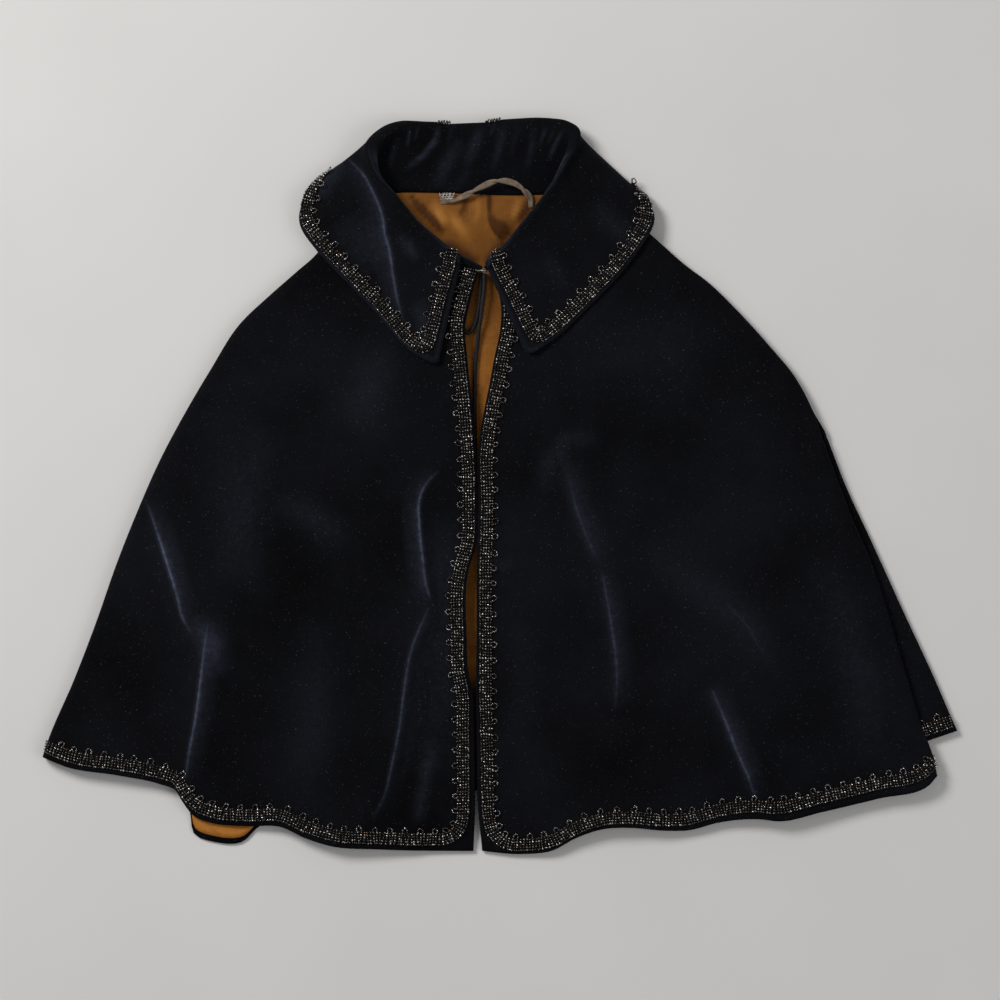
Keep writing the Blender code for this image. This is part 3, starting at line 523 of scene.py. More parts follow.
def front_height(folds, points, from_hem, from_side):
    """Height of the outer face of a front, and the highlight painted on its folds."""
    x, y = points[..., 0], points[..., 1]
    side = smooth_step(from_side / 60.0)
    low = smooth_step((120.0 - y) / 60.0)
    ridges, nap = fold_height(folds[0], x, y)
    creases, shine = fold_height(folds[1], x, y)
    rise = smooth_step(from_hem / HEM_RISE) * 0.85 + 0.15 * np.minimum(1, from_hem / HEM_RISE)
    top = blend(SIDE_TOP, FRONT_TOP + low * (FRONT_LOFT * side + ridges * side), side)
    quiet = smooth_step((215.0 - y) / 60.0) * smooth_step(from_side / 30.0)
    flatter = blend(0.45, 1.0, smooth_step(from_hem / 30.0))
    height = blend(hem_height(x), top, rise) + creases * quiet * flatter
    return height, nap + shine * quiet


def back_base(y):
    """Height of the back's lower face, which steps up onto the collar."""
    return NECK_LIFT * smooth_step((y - NECK_LIFT_FROM) / (NECK_LIFT_TO - NECK_LIFT_FROM))


def plain_fold(start, seam, count):
    """A plain side fold: how far in from the outline, and how high, from the flat to the seam."""
    low = seam + math.copysign(0.9, start - seam)
    reach = min(FOLD_REACH, abs(start - low) * 1.3)
    for k in range(FOLD_STEPS + 1):
        turn = math.pi / 2 * k / FOLD_STEPS
        yield reach * (1 - math.sin(turn)), low + (start - low) * math.cos(turn)
    for k in range(1, count + 1):
        yield 0.0, blend(low, seam, k / count)


def pleat_fold(start, seam, depth, count):
    """A side fold that turns right over and runs back in by the depth of the pleat."""
    radius = abs(start - seam) / 2
    for k in range(FOLD_STEPS + 1):
        turn = math.pi * k / FOLD_STEPS
        yield radius * (1 - math.sin(turn)), (start + seam) / 2 + (start - seam) / 2 * math.cos(turn)
    for k in range(1, count + 1):
        yield blend(radius, max(depth, radius + 3), k / count), seam


def right_fold(start, seam, y, more, count):
    """The fold on the right: plain above the place where the pleat begins, and pleated below it."""
    if y > PLEAT_STARTS:
        return list(plain_fold(start, seam, count))
    depth = PLEAT_DEPTH * smooth_step((PLEAT_STARTS - y) / (PLEAT_STARTS - PLEAT_FULL))
    return list(pleat_fold(start, seam, depth + more, count))


def side_seam(y):
    """Height of the seam in the middle of a side fold."""
    rise = float(np.clip((y - SIDE_SEAM_RISES_FROM) / SIDE_SEAM_RISES_OVER, 0, 1))
    return SIDE_SEAM + SIDE_SEAM_RISE * rise


def front_grid(patch, folds, pleated):
    """Outer face of a front, from its opening edge over the fold at its side, and the highlight painted on
    it.
    """
    length = patch.start.length
    rows = round(length / CELL)
    columns = round(FRONT_REACH / CELL)
    grid, naps = [], []
    for v in np.linspace(0, 1, rows + 1):
        width, point_at = patch.row(v)
        side_y = patch.end.at(v)[1]
        distance = np.linspace(0, width - FOLD_REACH, columns)
        points = point_at(distance)
        height, nap = front_height(folds, points, (1 - v) * length, width - distance)
        seam = side_seam(side_y) + SEAM_GAP / 2
        start = max(height[-1], seam + 2)
        fold = right_fold(start, seam, side_y, 0.0, 6) if pleated else list(plain_fold(start, seam, 2))
        inset = np.array([f[0] for f in fold])
        turned = point_at(width - inset)
        line = np.concatenate([np.column_stack([points, height]),
                               np.column_stack([turned, [f[1] for f in fold]])[1:]])
        grid.append(line)
        naps.append(np.concatenate([nap, np.zeros(len(fold) - 1)]))
    return np.array(grid), np.array(naps)


def flap_width(y):
    """How far the back's outer fold shows beyond the front's, at this height up the cape."""
    outer = np.interp(-y, [-p[1] for p in RIGHT_OUTER], [p[0] for p in RIGHT_OUTER])
    inner = np.interp(-y, [-p[1] for p in RIGHT_SIDE], [p[0] for p in RIGHT_SIDE])
    return max(0.0, float(outer - inner))


def back_grid(patch):
    """Outer face of the back, from the left seam under the cape and over the pleat on the right."""
    rows = round(patch.start.length / BACK_CELL)
    grid = []
    for v in np.linspace(0, 1, rows + 1):
        width, point_at = patch.row(v)
        left_y, right_y = patch.start.at(v)[1], patch.end.at(v)[1]
        left = list(plain_fold(back_base(left_y), side_seam(left_y) - SEAM_GAP / 2, 2))[::-1]
        right = right_fold(back_base(right_y), side_seam(right_y) - SEAM_GAP / 2, right_y,
                           flap_width(right_y), 6)
        flat = point_at(np.linspace(LINING_INSET, width - LINING_INSET, round(BACK_REACH / BACK_CELL)))
        line = [(*point_at(inset), height) for inset, height in left]
        line += [(*point, back_base(point[1])) for point in flat]
        line += [(*point_at(width - inset), height) for inset, height in right]
        grid.append(line)
    return np.array(grid)


def lining_grid(patch):
    """Lower face of the lining on the inside of the back, and the light and shade painted on its folds."""
    length = patch.start.length
    grid = []
    for v in np.linspace(0, 1 - HEM_TURN / length, round(length / LINING_CELL)):
        width, point_at = patch.row(v)
        points = point_at(np.linspace(LINING_INSET, width - LINING_INSET, LINING_COLUMNS))
        grid.append(np.column_stack([points, back_base(points[:, 1]) + CLOTH + SEAM_GAP]))
    grid = np.array(grid)
    ridges, tone = fold_height(LINING_FOLDS, grid[..., 0], grid[..., 1])
    return grid, ridges, tone


# Collar

def bezier(points, t):
    """Point on the curve with four control points."""
    a, b, c, d = points
    s = 1 - t
    return s ** 3 * a + 3 * s * s * t * b + 3 * s * t * t * c + t ** 3 * d


def stretch(arc, out, share):
    """Make a step of the roll longer or shorter in the way out from the neck."""
    return arc + out * arc.dot(out) * (share - 1)


def collar_section(row):
    """One section of the collar, from the neck seam up the stand, over the roll and down the fall."""
    neck, crest, edge = row[0:3].copy(), row[3:6], row[6:9]
    out = np.array([row[9], row[10], 0.0])
    out /= np.linalg.norm(out)
    up = np.array([0.0, 0.0, 1.0])
    turn = math.radians(row[11])
    radius = blend(ROLL_RADIUS, ROLL_RADIUS_STANDING, math.sin(min(turn, math.pi / 2)))
    half = row[12]
    tip = up * math.sin(turn) - out * math.cos(turn)
    inside = -out * math.sin(turn) - up * math.cos(turn)
    centre = crest + out * half * math.cos(turn) - up * radius
    neck -= out * blend(COLLAR_CLOTH + NECK_GAP, -NECK_GAP, smooth_step((row[11] - BEHIND_FROM) / 40))
    begins = centre + stretch(inside * radius, out, half / radius)
    ends = centre - stretch(inside * radius, out, half / radius)
    reach = np.linalg.norm(begins - neck) / 3
    lean = up * math.sin(turn) * STAND_LEAN - out * math.cos(turn)
    stand = (neck, neck + lean * reach, begins - tip * reach, begins)
    section = [bezier(stand, t) for t in np.linspace(0, 1, STAND_STEPS)]
    for k in range(1, ROLL_STEPS):
        angle = math.pi * k / ROLL_STEPS
        arc = inside * radius * math.cos(angle) + tip * radius * math.sin(angle)
        section.append(centre + stretch(arc, out, half / radius))
    reach = np.linalg.norm(edge - ends) / 3
    flat = (edge - ends) * (1, 1, 0)
    flat /= max(np.linalg.norm(flat), 1e-6)
    plan = (ends, ends - tip * min(reach, FALL_PULL), edge - flat * reach, edge)
    sag = blend(*FALL_SAG, smooth_step((row[11] - BEHIND_FROM) / 60))
    t = np.linspace(0, 1, 61)[:, None]
    fall = bezier(plan, t)
    fall[:, 2] = np.maximum(0.0, edge[2] + (ends[2] - edge[2]) * (1 - t[:, 0]) ** sag)
    marks = running_length(fall)
    places = np.linspace(0, marks[-1], FALL_STEPS)
    even = np.column_stack([np.interp(places, marks, fall[:, k]) for k in range(3)])
    return np.concatenate([np.array(section), even])


def collar_stations(table):
    """Finely spaced stations of one half of the collar, from its front edge to its last row."""
    table = np.array(table, float)
    slopes = np.gradient(table, axis=0)
    rows = []
    for share in np.linspace(0, len(table) - 1, (len(table) - 1) * STATION_STEPS + 1):
        i = min(int(share), len(table) - 2)
        t = share - i
        rise = t * t * (3 - 2 * t)
        rows.append(blend(table[i], table[i + 1], rise) + t * (1 - t) ** 2 * slopes[i]
                    + t * t * (t - 1) * slopes[i + 1])
    return rows


def collar_grid():
    """Whole collar with its gathers and creases, the highlights painted on them, and where its notch starts
    and ends.
    """
    left = collar_stations(LEFT_COLLAR)
    right = collar_stations(RIGHT_COLLAR)[::-1]
    middle = [blend(left[-1], right[0], share) for share in np.linspace(0, 1, 12)[1:-1]]
    rows = left + middle + right
    grid = np.array([collar_section(row) for row in rows])
    turned = np.array([row[11] for row in rows])
    outwards = grid_normals(grid)
    columns = np.arange(grid.shape[1])
    fall_from = STAND_STEPS + ROLL_STEPS - 1
    on_fall = smooth_step((columns - fall_from + 3) / 5.0)[None, :]
    ridges, nap = fold_height(COLLAR_FOLDS, grid[..., 0], grid[..., 1])
    grid += outwards * (ridges * on_fall)[..., None]
    along = columns / (STAND_STEPS + ROLL_STEPS / 2)
    stand = np.where(along < 1, np.sin(math.pi * np.clip(along, 0, 1)) ** 0.7, 0.0)[None, :]
    behind = smooth_step((turned - 110) / 30.0)[:, None]
    gathers, gleam = fold_height(STAND_FOLDS, grid[..., 0], grid[..., 1])
    grid += outwards * (gathers * stand * behind)[..., None]
    nap = nap * on_fall + gleam * stand * behind
    place, light = lines_of_light(COLLAR_LINES, grid[..., 0], grid[..., 1])
    light = light * on_fall
    # A painted line of light along the inner rim of the roll, fading out behind the neck
    roll = np.broadcast_to((columns - STAND_STEPS - 1) * 1.3, place.shape)
    near_roll = np.abs(roll) < 4.0
    place = np.where(near_roll, 0.5 + roll / LINE_REACH, place)
    light = np.where(near_roll, ROLL_LINE * smooth_step((100 - turned) / 40.0)[:, None], light)
    return grid, nap, (place, light), len(left), len(left) + len(middle)


# Meshes

def unit(vectors):
    """Vectors of length 1."""
    return vectors / np.maximum(np.linalg.norm(vectors, axis=-1, keepdims=True), 1e-9)


def grid_normals(grid):
    """Unit normals of a grid of points, each halfway between those of the cells beside it."""
    ways = []
    for axis in (0, 1):
        steps = np.moveaxis(unit(np.diff(grid, axis=axis)), axis, 0)
        both = unit(steps[:-1] + steps[1:])
        ways.append(np.moveaxis(np.concatenate([steps[:1], both, steps[-1:]]), 0, axis))
    return unit(np.cross(ways[0], ways[1]))


def new_mesh(name, points, faces, materials, indices=None, **values):
    """A mesh object from points in millimetres, with a number at each point for every named value."""
    mesh = bpy.data.meshes.new(name)
    mesh.from_pydata(metres(points).tolist(), [], [list(face) for face in faces])
    for material in materials:
        mesh.materials.append(material)
    if indices is not None:
        mesh.polygons.foreach_set("material_index", np.array(indices, np.int32))
    for key, numbers in values.items():
        layer = mesh.attributes.new(key, "FLOAT", "POINT")
        layer.data.foreach_set("value", np.asarray(numbers, np.float32).ravel())
    mesh.shade_smooth()
    piece = bpy.data.objects.new(name, mesh)
    bpy.context.collection.objects.link(piece)
    return piece


def shell(name, front, behind, materials, flip=False, keep=None, inner=None, **values):
    """A closed wall between two grids. keep says which cells are there, inner which of them are lined."""
    rows, columns = front.shape[:2]
    i, j = np.nonzero(np.ones((rows - 1, columns - 1), bool) if keep is None else keep)
    number = np.arange(rows * columns).reshape(rows, columns)
    ring = np.stack([number[i, j], number[i + 1, j], number[i + 1, j + 1], number[i, j + 1]], axis=1)
    if flip:
        ring = ring[:, ::-1]
    starts, ends = ring.ravel(), np.roll(ring, -1, axis=1).ravel()
    total = rows * columns
    border = ~np.isin(starts * total + ends, ends * total + starts)
    rim = np.stack([ends[border], starts[border], starts[border] + total, ends[border] + total], axis=1)
    faces = np.concatenate([ring, ring[:, ::-1] + total, rim])
    lined = np.zeros(len(ring), np.int32) if inner is None else inner[i, j].astype(np.int32)
    indices = np.concatenate([np.zeros(len(ring), np.int32), lined, np.zeros(len(rim), np.int32)])
    used, places = np.unique(faces, return_inverse=True)
    points = np.concatenate([front.reshape(-1, 3), behind.reshape(-1, 3)])[used]
    numbers = {}
    for key, (outer_value, inner_value) in values.items():
        numbers[key] = np.concatenate([outer_value.ravel(), inner_value.ravel()])[used]
    return new_mesh(name, points, places.reshape(faces.shape), materials, indices=indices, **numbers)


def ride(piece, slot, *nodes):
    """Hang the piece on the root and hide the nodes that it stands for. The slot is not used."""
    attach(piece, "root")
    if nodes:
        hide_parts(*nodes)
    return piece


# Bead trim

class Surface:
    """A panel's outer face, read by the distance from its first edge and from its lower edge."""

    def __init__(self, grid, normals):
        self.grid, self.normals = grid, normals
        across = np.linalg.norm(np.diff(grid, axis=1), axis=2)
        down = np.linalg.norm(np.diff(grid[::-1], axis=0), axis=2)
        self.across = np.pad(np.cumsum(across, axis=1), ((0, 0), (1, 0)))
        self.up = np.pad(np.cumsum(down, axis=0), ((1, 0), (0, 0))).T

    @staticmethod
    def between(table, place):
        low = int(np.clip(np.floor(place), 0, len(table) - 2))
        return blend(table[low], table[low + 1], place - low)

    def find(self, d, h):
        """Row and column of one place."""
        last_row, last_column = self.grid.shape[0] - 1, self.grid.shape[1] - 1
        row = float(last_row)
        for _ in range(5):
            column = np.interp(d, self.between(self.across, row), np.arange(last_column + 1))
            row = last_row - np.interp(h, self.between(self.up, column), np.arange(last_row + 1))
        return row, column

    def width(self, h):
        """Distance from the first edge to the last one, at one height."""
        rows = np.arange(self.grid.shape[0])
        return self.between(self.across, rows[-1] - np.interp(h, self.up[-1], rows))[-1]

    def read(self, table, row, column):
        i = int(np.clip(row, 0, table.shape[0] - 2))
        j = int(np.clip(column, 0, table.shape[1] - 2))
        top = blend(table[i, j], table[i, j + 1], column - j)
        bottom = blend(table[i + 1, j], table[i + 1, j + 1], column - j)
        return blend(top, bottom, row - i)

    def at(self, d, h):
        row, column = self.find(d, h)
        return self.read(self.grid, row, column), self.read(self.normals, row, column)


def corner_route(start, end, edge, low, radius):
    """Places of a band that runs down one edge, round a corner and along the lower edge."""
    middle, height = read_row(edge, radius), read_row(low, radius)
    down = [(read_row(edge, h), h) for h in np.arange(start, height + radius, -2.0)]
    turn = [(middle + radius * (1 - math.cos(a)), height + radius * (1 - math.sin(a)))
            for a in np.linspace(0, math.pi / 2, 14)]
    along = [(d, read_row(low, d)) for d in np.arange(middle + radius + 2.0, end, 2.0)]
    return down + turn + along


def read_row(table, place):
    """Value of a two-column table at one place."""
    return float(np.interp(place, [row[0] for row in table], [row[1] for row in table]))


def band_path(surface, route, step):
    """Even steps along a band: points, the panel's normals, and the way in from the edge."""
    places = [surface.at(d, h) for d, h in route]
    points = np.array([p[0] for p in places])
    normals = unit(np.array([p[1] for p in places]))
    for _ in range(2):
        points[1:-1] = (points[:-2] + 2 * points[1:-1] + points[2:]) / 4
    marks = running_length(points)
    count = max(2, round(marks[-1] / step))
    even = np.linspace(0, marks[-1], count + 1)
    points = np.column_stack([np.interp(even, marks, points[:, k]) for k in range(3)])
    normals = unit(np.column_stack([np.interp(even, marks, normals[:, k]) for k in range(3)]))
    return points, normals, unit(np.gradient(points, axis=0))


def bead_shape():
    """Points and faces of one faceted bead."""
    points = [(0, 0, 1)]
    for tilt in (45, 90, 135):
        for k in range(6):
            a = math.radians(60 * k)
            t = math.radians(tilt)
            points.append((math.sin(t) * math.cos(a), math.sin(t) * math.sin(a), math.cos(t)))
    points.append((0, 0, -1))
    faces = []
    for k in range(6):
        n = (k + 1) % 6
        faces.append((0, 1 + k, 1 + n))
        faces.append((19, 13 + n, 13 + k))
        for ring in (1, 7):
            faces.append((ring + k, ring + 6 + k, ring + 6 + n))
            faces.append((ring + k, ring + 6 + n, ring + n))
    return np.array(points, float), np.array(faces)


def random_turns(count, chance):
    """Seeded random rotations."""
    q = unit(chance.normal(size=(count, 4)))
    w, x, y, z = q.T
    return np.stack([1 - 2 * (y * y + z * z), 2 * (x * y - z * w), 2 * (x * z + y * w),
                     2 * (x * y + z * w), 1 - 2 * (x * x + z * z), 2 * (y * z - x * w),
                     2 * (x * z - y * w), 2 * (y * z + x * w), 1 - 2 * (x * x + y * y)],
                    axis=1).reshape(-1, 3, 3)


def net_strip(points, faces, path, inwards, normals):
    """A thin closed strip under the beads, added to the lists of points and faces."""
    base = sum(len(p) for p in points)
    count = len(path)
    for lift in (TRIM_LIFT * NET_SEAT, TRIM_LIFT * NET_SEAT + NET_THICK):
        for offset in np.linspace(-TRIM_HALF + NET_MARGIN, TRIM_HALF - NET_MARGIN, 5):
            points.append(path + inwards * offset + normals * lift)
    number = (np.arange(10)[:, None] * count + np.arange(count)[None, :]) + base
    for k in range(count - 1):
        for a in range(4):
            faces.append((number[a, k], number[a + 1, k], number[a + 1, k + 1], number[a, k + 1]))
            faces.append((number[a + 5, k], number[a + 5, k + 1], number[a + 6, k + 1], number[a + 6, k]))
        faces.append((number[0, k], number[0, k + 1], number[5, k + 1], number[5, k]))
        faces.append((number[4, k], number[9, k], number[9, k + 1], number[4, k + 1]))
    for k in (0, count - 1):
        for a in range(4):
            ring = (number[a, k], number[a + 5, k], number[a + 6, k], number[a + 1, k])
            faces.append(ring if k == 0 else ring[::-1])


def place_beads(band, chance):
    """Middle, size and tone of every bead of one band: its rungs, its outer rail and its picot loops."""
    path, normals, along, inwards, loops = band
    count = len(path)
    top = TRIM_LIFT + NET_THICK + BEAD * BEAD_SEAT
    loops_end = (count - 1.5) * RUNG_STEP if loops else 0.0
    loop_places = np.arange(LOOP_STEP * LOOP_START, loops_end, LOOP_STEP)
    offsets = (np.arange(BEADS_ACROSS) - (BEADS_ACROSS - 1) / 2) * BEAD_PITCH
    beads = []
    for k in range(count):
        shift, slant = chance.normal(0, RUNG_SHIFT), chance.normal(0, RUNG_SLANT)
        between = len(loop_places) and np.abs(loop_places - k * RUNG_STEP).min() > LOOP_STEP * LOOP_ROOM
        for row, offset in enumerate(offsets):
            spot = path[k] + inwards[k] * (offset + shift * 0.6) + along[k] * (shift + slant * offset)
            copper = between and row == BEADS_ACROSS - 1 and chance.uniform() < COPPER_CHANCE
            tone = 1.0 if copper else chance.uniform(*BEAD_TONES)
            spot = spot + normals[k] * top + chance.normal(0, BEAD_SPREAD, 3)
            beads.append((spot, BEAD * chance.uniform(*BEAD_SIZES), tone))
        if k < count - 1:
            rail = blend(path[k], path[k + 1], 0.5) + inwards[k] * (offsets[0] - 0.3)
            rail = rail + normals[k] * (top - LOW_SET) + chance.normal(0, RAIL_SPREAD, 3)
            beads.append((rail, BEAD * RAIL_SIZE, chance.uniform(*RAIL_TONES)))
    for middle in loop_places:
        k = min(count - 2, int(middle / RUNG_STEP))
        here = blend(path[k], path[k + 1], min(1.0, middle / RUNG_STEP - k))
        size, lean = chance.uniform(*LOOP_SIZES), chance.normal(0, LOOP_LEAN)
        tilt = chance.uniform(*LOOP_TILTS)
        for aside, out in LOOP:
            spot = here + inwards[k] * (offsets[-1] + BEAD * BEAD_SEAT + out * size)
            spot = spot + along[k] * (aside + lean * out) * size
            spot = spot + normals[k] * (top - LOW_SET + tilt * out) + chance.normal(0, LOOP_SPREAD, 3)
            beads.append((spot, BEAD * chance.uniform(*LOOP_BEADS), chance.uniform(*LOOP_TONES)))
    return beads


def bead_trim(name, bands, material, net):
    """Rungs of beads with a picot loop every few rungs, on a thin net, as one mesh."""
    chance = np.random.default_rng(BEAD_SEEDS[name])
    points, faces, beads = [], [], []
    for band in bands:
        net_strip(points, faces, band[0], band[3], band[1])
        beads += place_beads(band, chance)
    shape, shape_faces = bead_shape()
    centres, sizes, tones = (np.array(column) for column in zip(*beads))
    centres[:, 2] = np.maximum(centres[:, 2], sizes + 0.2)
    turned = np.einsum("nij,vj->nvi", random_turns(len(centres), chance), shape)
    solid = centres[:, None] + turned * sizes[:, None, None]
    base = sum(len(p) for p in points)
    starts = np.arange(len(centres))[:, None, None] * len(shape) + base
    bead_faces = (shape_faces[None] + starts).reshape(-1, 3)
    indices = [1] * len(faces) + [0] * len(bead_faces)
    tone = np.concatenate([np.zeros(base), np.repeat(tones, len(shape))])
    points = [np.maximum(layer, (-1e9, -1e9, 0.0)) for layer in points]
    faces += bead_faces.tolist()
    piece = new_mesh(f"beads_{name}", np.concatenate(points + [solid.reshape(-1, 3)]), faces,
                     [material, net], indices=indices, tone=tone)
    return ride(piece, "beads", f"trim_{name}")


# Cords and tape

def tube_grid(path, radius, sides):
    """Rings of points round a path."""
    along = unit(np.gradient(path, axis=0))
    aside = unit(np.cross(along, (0.0, 0.0, 1.0)) + (1e-6, 0, 0))
    above = np.cross(aside, along)
    angles = np.linspace(0, 2 * math.pi, sides, endpoint=False)[None, :]
    return (path[:, None] + aside[:, None] * np.cos(angles)[..., None] * radius
            + above[:, None] * np.sin(angles)[..., None] * radius)


def closed_tube(rings, base):
    """Faces of a tube with both ends closed."""
    count, sides = rings.shape[:2]
    faces = []
    for k in range(count - 1):
        for s in range(sides):
            n = (s + 1) % sides
            faces.append((base + k * sides + s, base + k * sides + n,
                          base + (k + 1) * sides + n, base + (k + 1) * sides + s))
    faces.append(tuple(base + s for s in reversed(range(sides))))
    faces.append(tuple(base + (count - 1) * sides + s for s in range(sides)))
    return faces


def rope(name, points, material, exit_point, far_end, with_pieces, *nodes):
    """A cord of twisted strands along the solids' own route."""
    route = Curve(points, 3)
    count = round(route.length / CORD_STEP)
    path = route.at(np.linspace(0, 1, count + 1))
    along = unit(np.gradient(path, axis=0))
    aside = unit(np.cross(along, (0.0, 0.0, 1.0)) + (1e-6, 0, 0))
    above = np.cross(aside, along)
    turn = np.linspace(0, route.length / CORD_LAY * 2 * math.pi, count + 1)
    strand = CORD_RADIUS * STRAND_SHARE
    rows, faces = [], []
    for k in range(STRANDS):
        angle = turn + k * 2 * math.pi / STRANDS
        off_middle = aside * np.cos(angle)[:, None] + above * np.sin(angle)[:, None]
        centre = path + off_middle * (CORD_RADIUS - strand)
        rings = tube_grid(centre, strand, 8)
        faces += closed_tube(rings, sum(len(r) for r in rows))
        rows.append(rings.reshape(-1, 3))
    piece = new_mesh(name, np.concatenate(rows), faces, [material])
    ride(piece, "cord", *nodes)
    line = [tuple(p) for p in metres(route.at(np.linspace(0, 1, 40)))]
    return piece


def hanger(material):
    """Two flat plies twisted round each other in a low arch."""
    route = Curve(HANGER, 3)
    share = np.linspace(0, 1, HANGER_STEPS + 1)
    path = route.at(share) + (0, 0, HANGER_THICK / 2)
    along = unit(np.gradient(path, axis=0))
    aside = unit(np.cross((0.0, 0.0, 1.0), along))
    above = np.cross(along, aside)
    rows, faces = [], []
    for ply in (0, 1):
        turn = share * math.pi * (2 * HANGER_TURNS) + ply * math.pi + 0.35 * np.sin(share * 23)
        middle = path + (aside * np.cos(turn)[:, None] * HANGER_WIDTH * PLY_APART[0]
                         + above * np.sin(turn)[:, None] * HANGER_THICK * PLY_APART[1])
        rings = []
        for angle in np.linspace(0, 2 * math.pi, PLY_SIDES, endpoint=False):
            across = HANGER_WIDTH * PLY_HALF[0] * math.cos(angle) * (1 + 0.12 * np.sin(share * 31 + ply))
            high = HANGER_THICK * PLY_HALF[1] * math.sin(angle)
            rings.append(middle + aside * across[:, None] + above * high)
        rings = np.stack(rings, axis=1)
        faces += [face[::-1] for face in closed_tube(rings, sum(len(r) for r in rows))]
        rows.append(rings.reshape(-1, 3))
    piece = new_mesh("tape_hanger", np.concatenate(rows), faces, [material])
    ride(piece, "tape", "hanger_tape")
    return piece


def stitches(name, runs, material, slot):
    """Short stitches, each a small bowed thread, joined into one mesh."""
    rows, faces = [], []
    for start, end, up in runs:
        start, end = np.array(start, float), np.array(end, float)
        share = np.linspace(0, 1, 6)
        path = start + (end - start) * share[:, None]
        path[:, 2] += up * np.sin(share * math.pi)
        rings = tube_grid(path, STITCH_RADIUS, 6)
        faces += closed_tube(rings, sum(len(r) for r in rows))
        rows.append(rings.reshape(-1, 3))
    piece = new_mesh(name, np.concatenate(rows), faces, [material])
    return ride(piece, slot)


# Materials

class Nodes:
    """Short ways to build a procedural material."""

    def __init__(self, name):
        self.material = bpy.data.materials.new(name)
        self.material.use_nodes = True
        self.tree = self.material.node_tree
        self.shader = self.tree.nodes["Principled BSDF"]
        self.place = self.tree.nodes.new("ShaderNodeTexCoord").outputs["Object"]

    def link(self, source, target):
        self.tree.links.new(source, target)

    def noise(self, scale, detail=3.0, rough=0.55, stretch=None):
        node = self.tree.nodes.new("ShaderNodeTexNoise")
        node.inputs["Scale"].default_value = scale
        node.inputs["Detail"].default_value = detail
        node.inputs["Roughness"].default_value = rough
        source = self.place
        if stretch:
            mapping = self.tree.nodes.new("ShaderNodeMapping")
            mapping.inputs["Scale"].default_value = stretch
            self.link(source, mapping.inputs["Vector"])
            source = mapping.outputs["Vector"]
        self.link(source, node.inputs["Vector"])
        return node.outputs["Fac"]

    def wave(self, scale, direction="X", distortion=0.0):
        node = self.tree.nodes.new("ShaderNodeTexWave")
        node.bands_direction = direction
        node.inputs["Scale"].default_value = scale
        node.inputs["Distortion"].default_value = distortion
        self.link(self.place, node.inputs["Vector"])
        return node.outputs["Fac"]

    def value(self, key):
        node = self.tree.nodes.new("ShaderNodeAttribute")
        node.attribute_name = key
        return node.outputs["Fac"]

    def ramp(self, source, stops):
        node = self.tree.nodes.new("ShaderNodeValToRGB")
        node.color_ramp.elements.remove(node.color_ramp.elements[1])
        for k, (position, colour) in enumerate(stops):
            element = node.color_ramp.elements[0] if k == 0 else node.color_ramp.elements.new(position)
            element.position = position
            element.color = (*colour, 1.0)
        self.link(source, node.inputs["Fac"])
        return node.outputs["Color"]

    def math(self, operation, first, second):
        node = self.tree.nodes.new("ShaderNodeMath")
        node.operation = operation
        node.use_clamp = True
        for socket, item in zip(node.inputs, (first, second)):
            if isinstance(item, (int, float)):
                socket.default_value = item
            else:
                self.link(item, socket)
        return node.outputs["Value"]

    def mix(self, share, first, second):
        node = self.tree.nodes.new("ShaderNodeMix")
        node.data_type = "RGBA"
        for key, item in (("Factor", share), ("A", first), ("B", second)):
            socket = [s for s in node.inputs if s.name == key and s.enabled][0]
            if isinstance(item, tuple):
                socket.default_value = (*item, 1.0)
            elif isinstance(item, (int, float)):
                socket.default_value = item
            else:
                self.link(item, socket)
        return [s for s in node.outputs if s.enabled][0]

    def bump(self, height, distance, strength=1.0, under=None):
        node = self.tree.nodes.new("ShaderNodeBump")
        node.inputs["Strength"].default_value = strength
        node.inputs["Distance"].default_value = distance
        self.link(height, node.inputs["Height"])
        if under is not None:
            self.link(under, node.inputs["Normal"])
        return node.outputs["Normal"]

    def finish(self, colour, normal=None, **values):
        self.link(colour, self.shader.inputs["Base Color"])
        if normal is not None:
            self.link(normal, self.shader.inputs["Normal"])
        for key, value in values.items():
            self.shader.inputs[key.replace("_", " ")].default_value = value
        return self.material


def velvet_material():
    """Near-black navy pile: broad shading, painted lines of light and painted highlights on the folds, a
    little lint.
    """
    n = Nodes("navy_velvet")
    broad = n.ramp(n.noise(7.0, 5.0, 0.6), [(0.34, (0.0008, 0.0008, 0.0011)),
                                            (0.66, (0.0040, 0.0043, 0.0062))])
    speckle = n.noise(420.0, 3.0, 0.8)
    brushed = n.ramp(n.noise(170.0, 4.0, 0.7), [(0.30, (0.35, 0.35, 0.35)), (0.66, (1, 1, 1))])
    # Painted highlights: a lighter colour along the lines of light and on the folds
    profile = [(0.02, 0), (0.40, 0.02), (0.465, 0.16), (0.488, 0.62), (0.5, 1), (0.522, 0.6), (0.56, 0.20),
               (0.66, 0.09), (0.96, 0)]
    line = n.ramp(n.value("crease"), [(place, (grey, grey, grey)) for place, grey in profile])
    light = n.math("ADD", n.math("MULTIPLY", line, n.value("gleam")), n.value("nap"))
    grain = n.math("ADD", n.math("MULTIPLY", speckle, 1.1), 0.35)
    nap = n.math("MULTIPLY", light, n.math("MULTIPLY", brushed, grain))
    colour = n.mix(nap, broad, (0.086, 0.100, 0.150))
    lint = n.ramp(n.noise(620.0, 1.0), [(0.70, (0, 0, 0)), (0.76, (1, 1, 1))])
    colour = n.mix(n.math("MULTIPLY", lint, 0.16), colour, (0.16, 0.17, 0.19))
    pile = n.noise(1500.0, 2.0, 0.7)
    normal = n.bump(pile, 0.0006, 0.5)
    normal = n.bump(n.noise(140.0, 4.0, 0.6), 0.0011, 0.35, normal)
    return n.finish(colour, normal, Roughness=0.95, Specular_IOR_Level=0.08, Sheen_Weight=0.075,
                    Sheen_Roughness=0.32, Sheen_Tint=(0.42, 0.5, 0.72, 1.0))


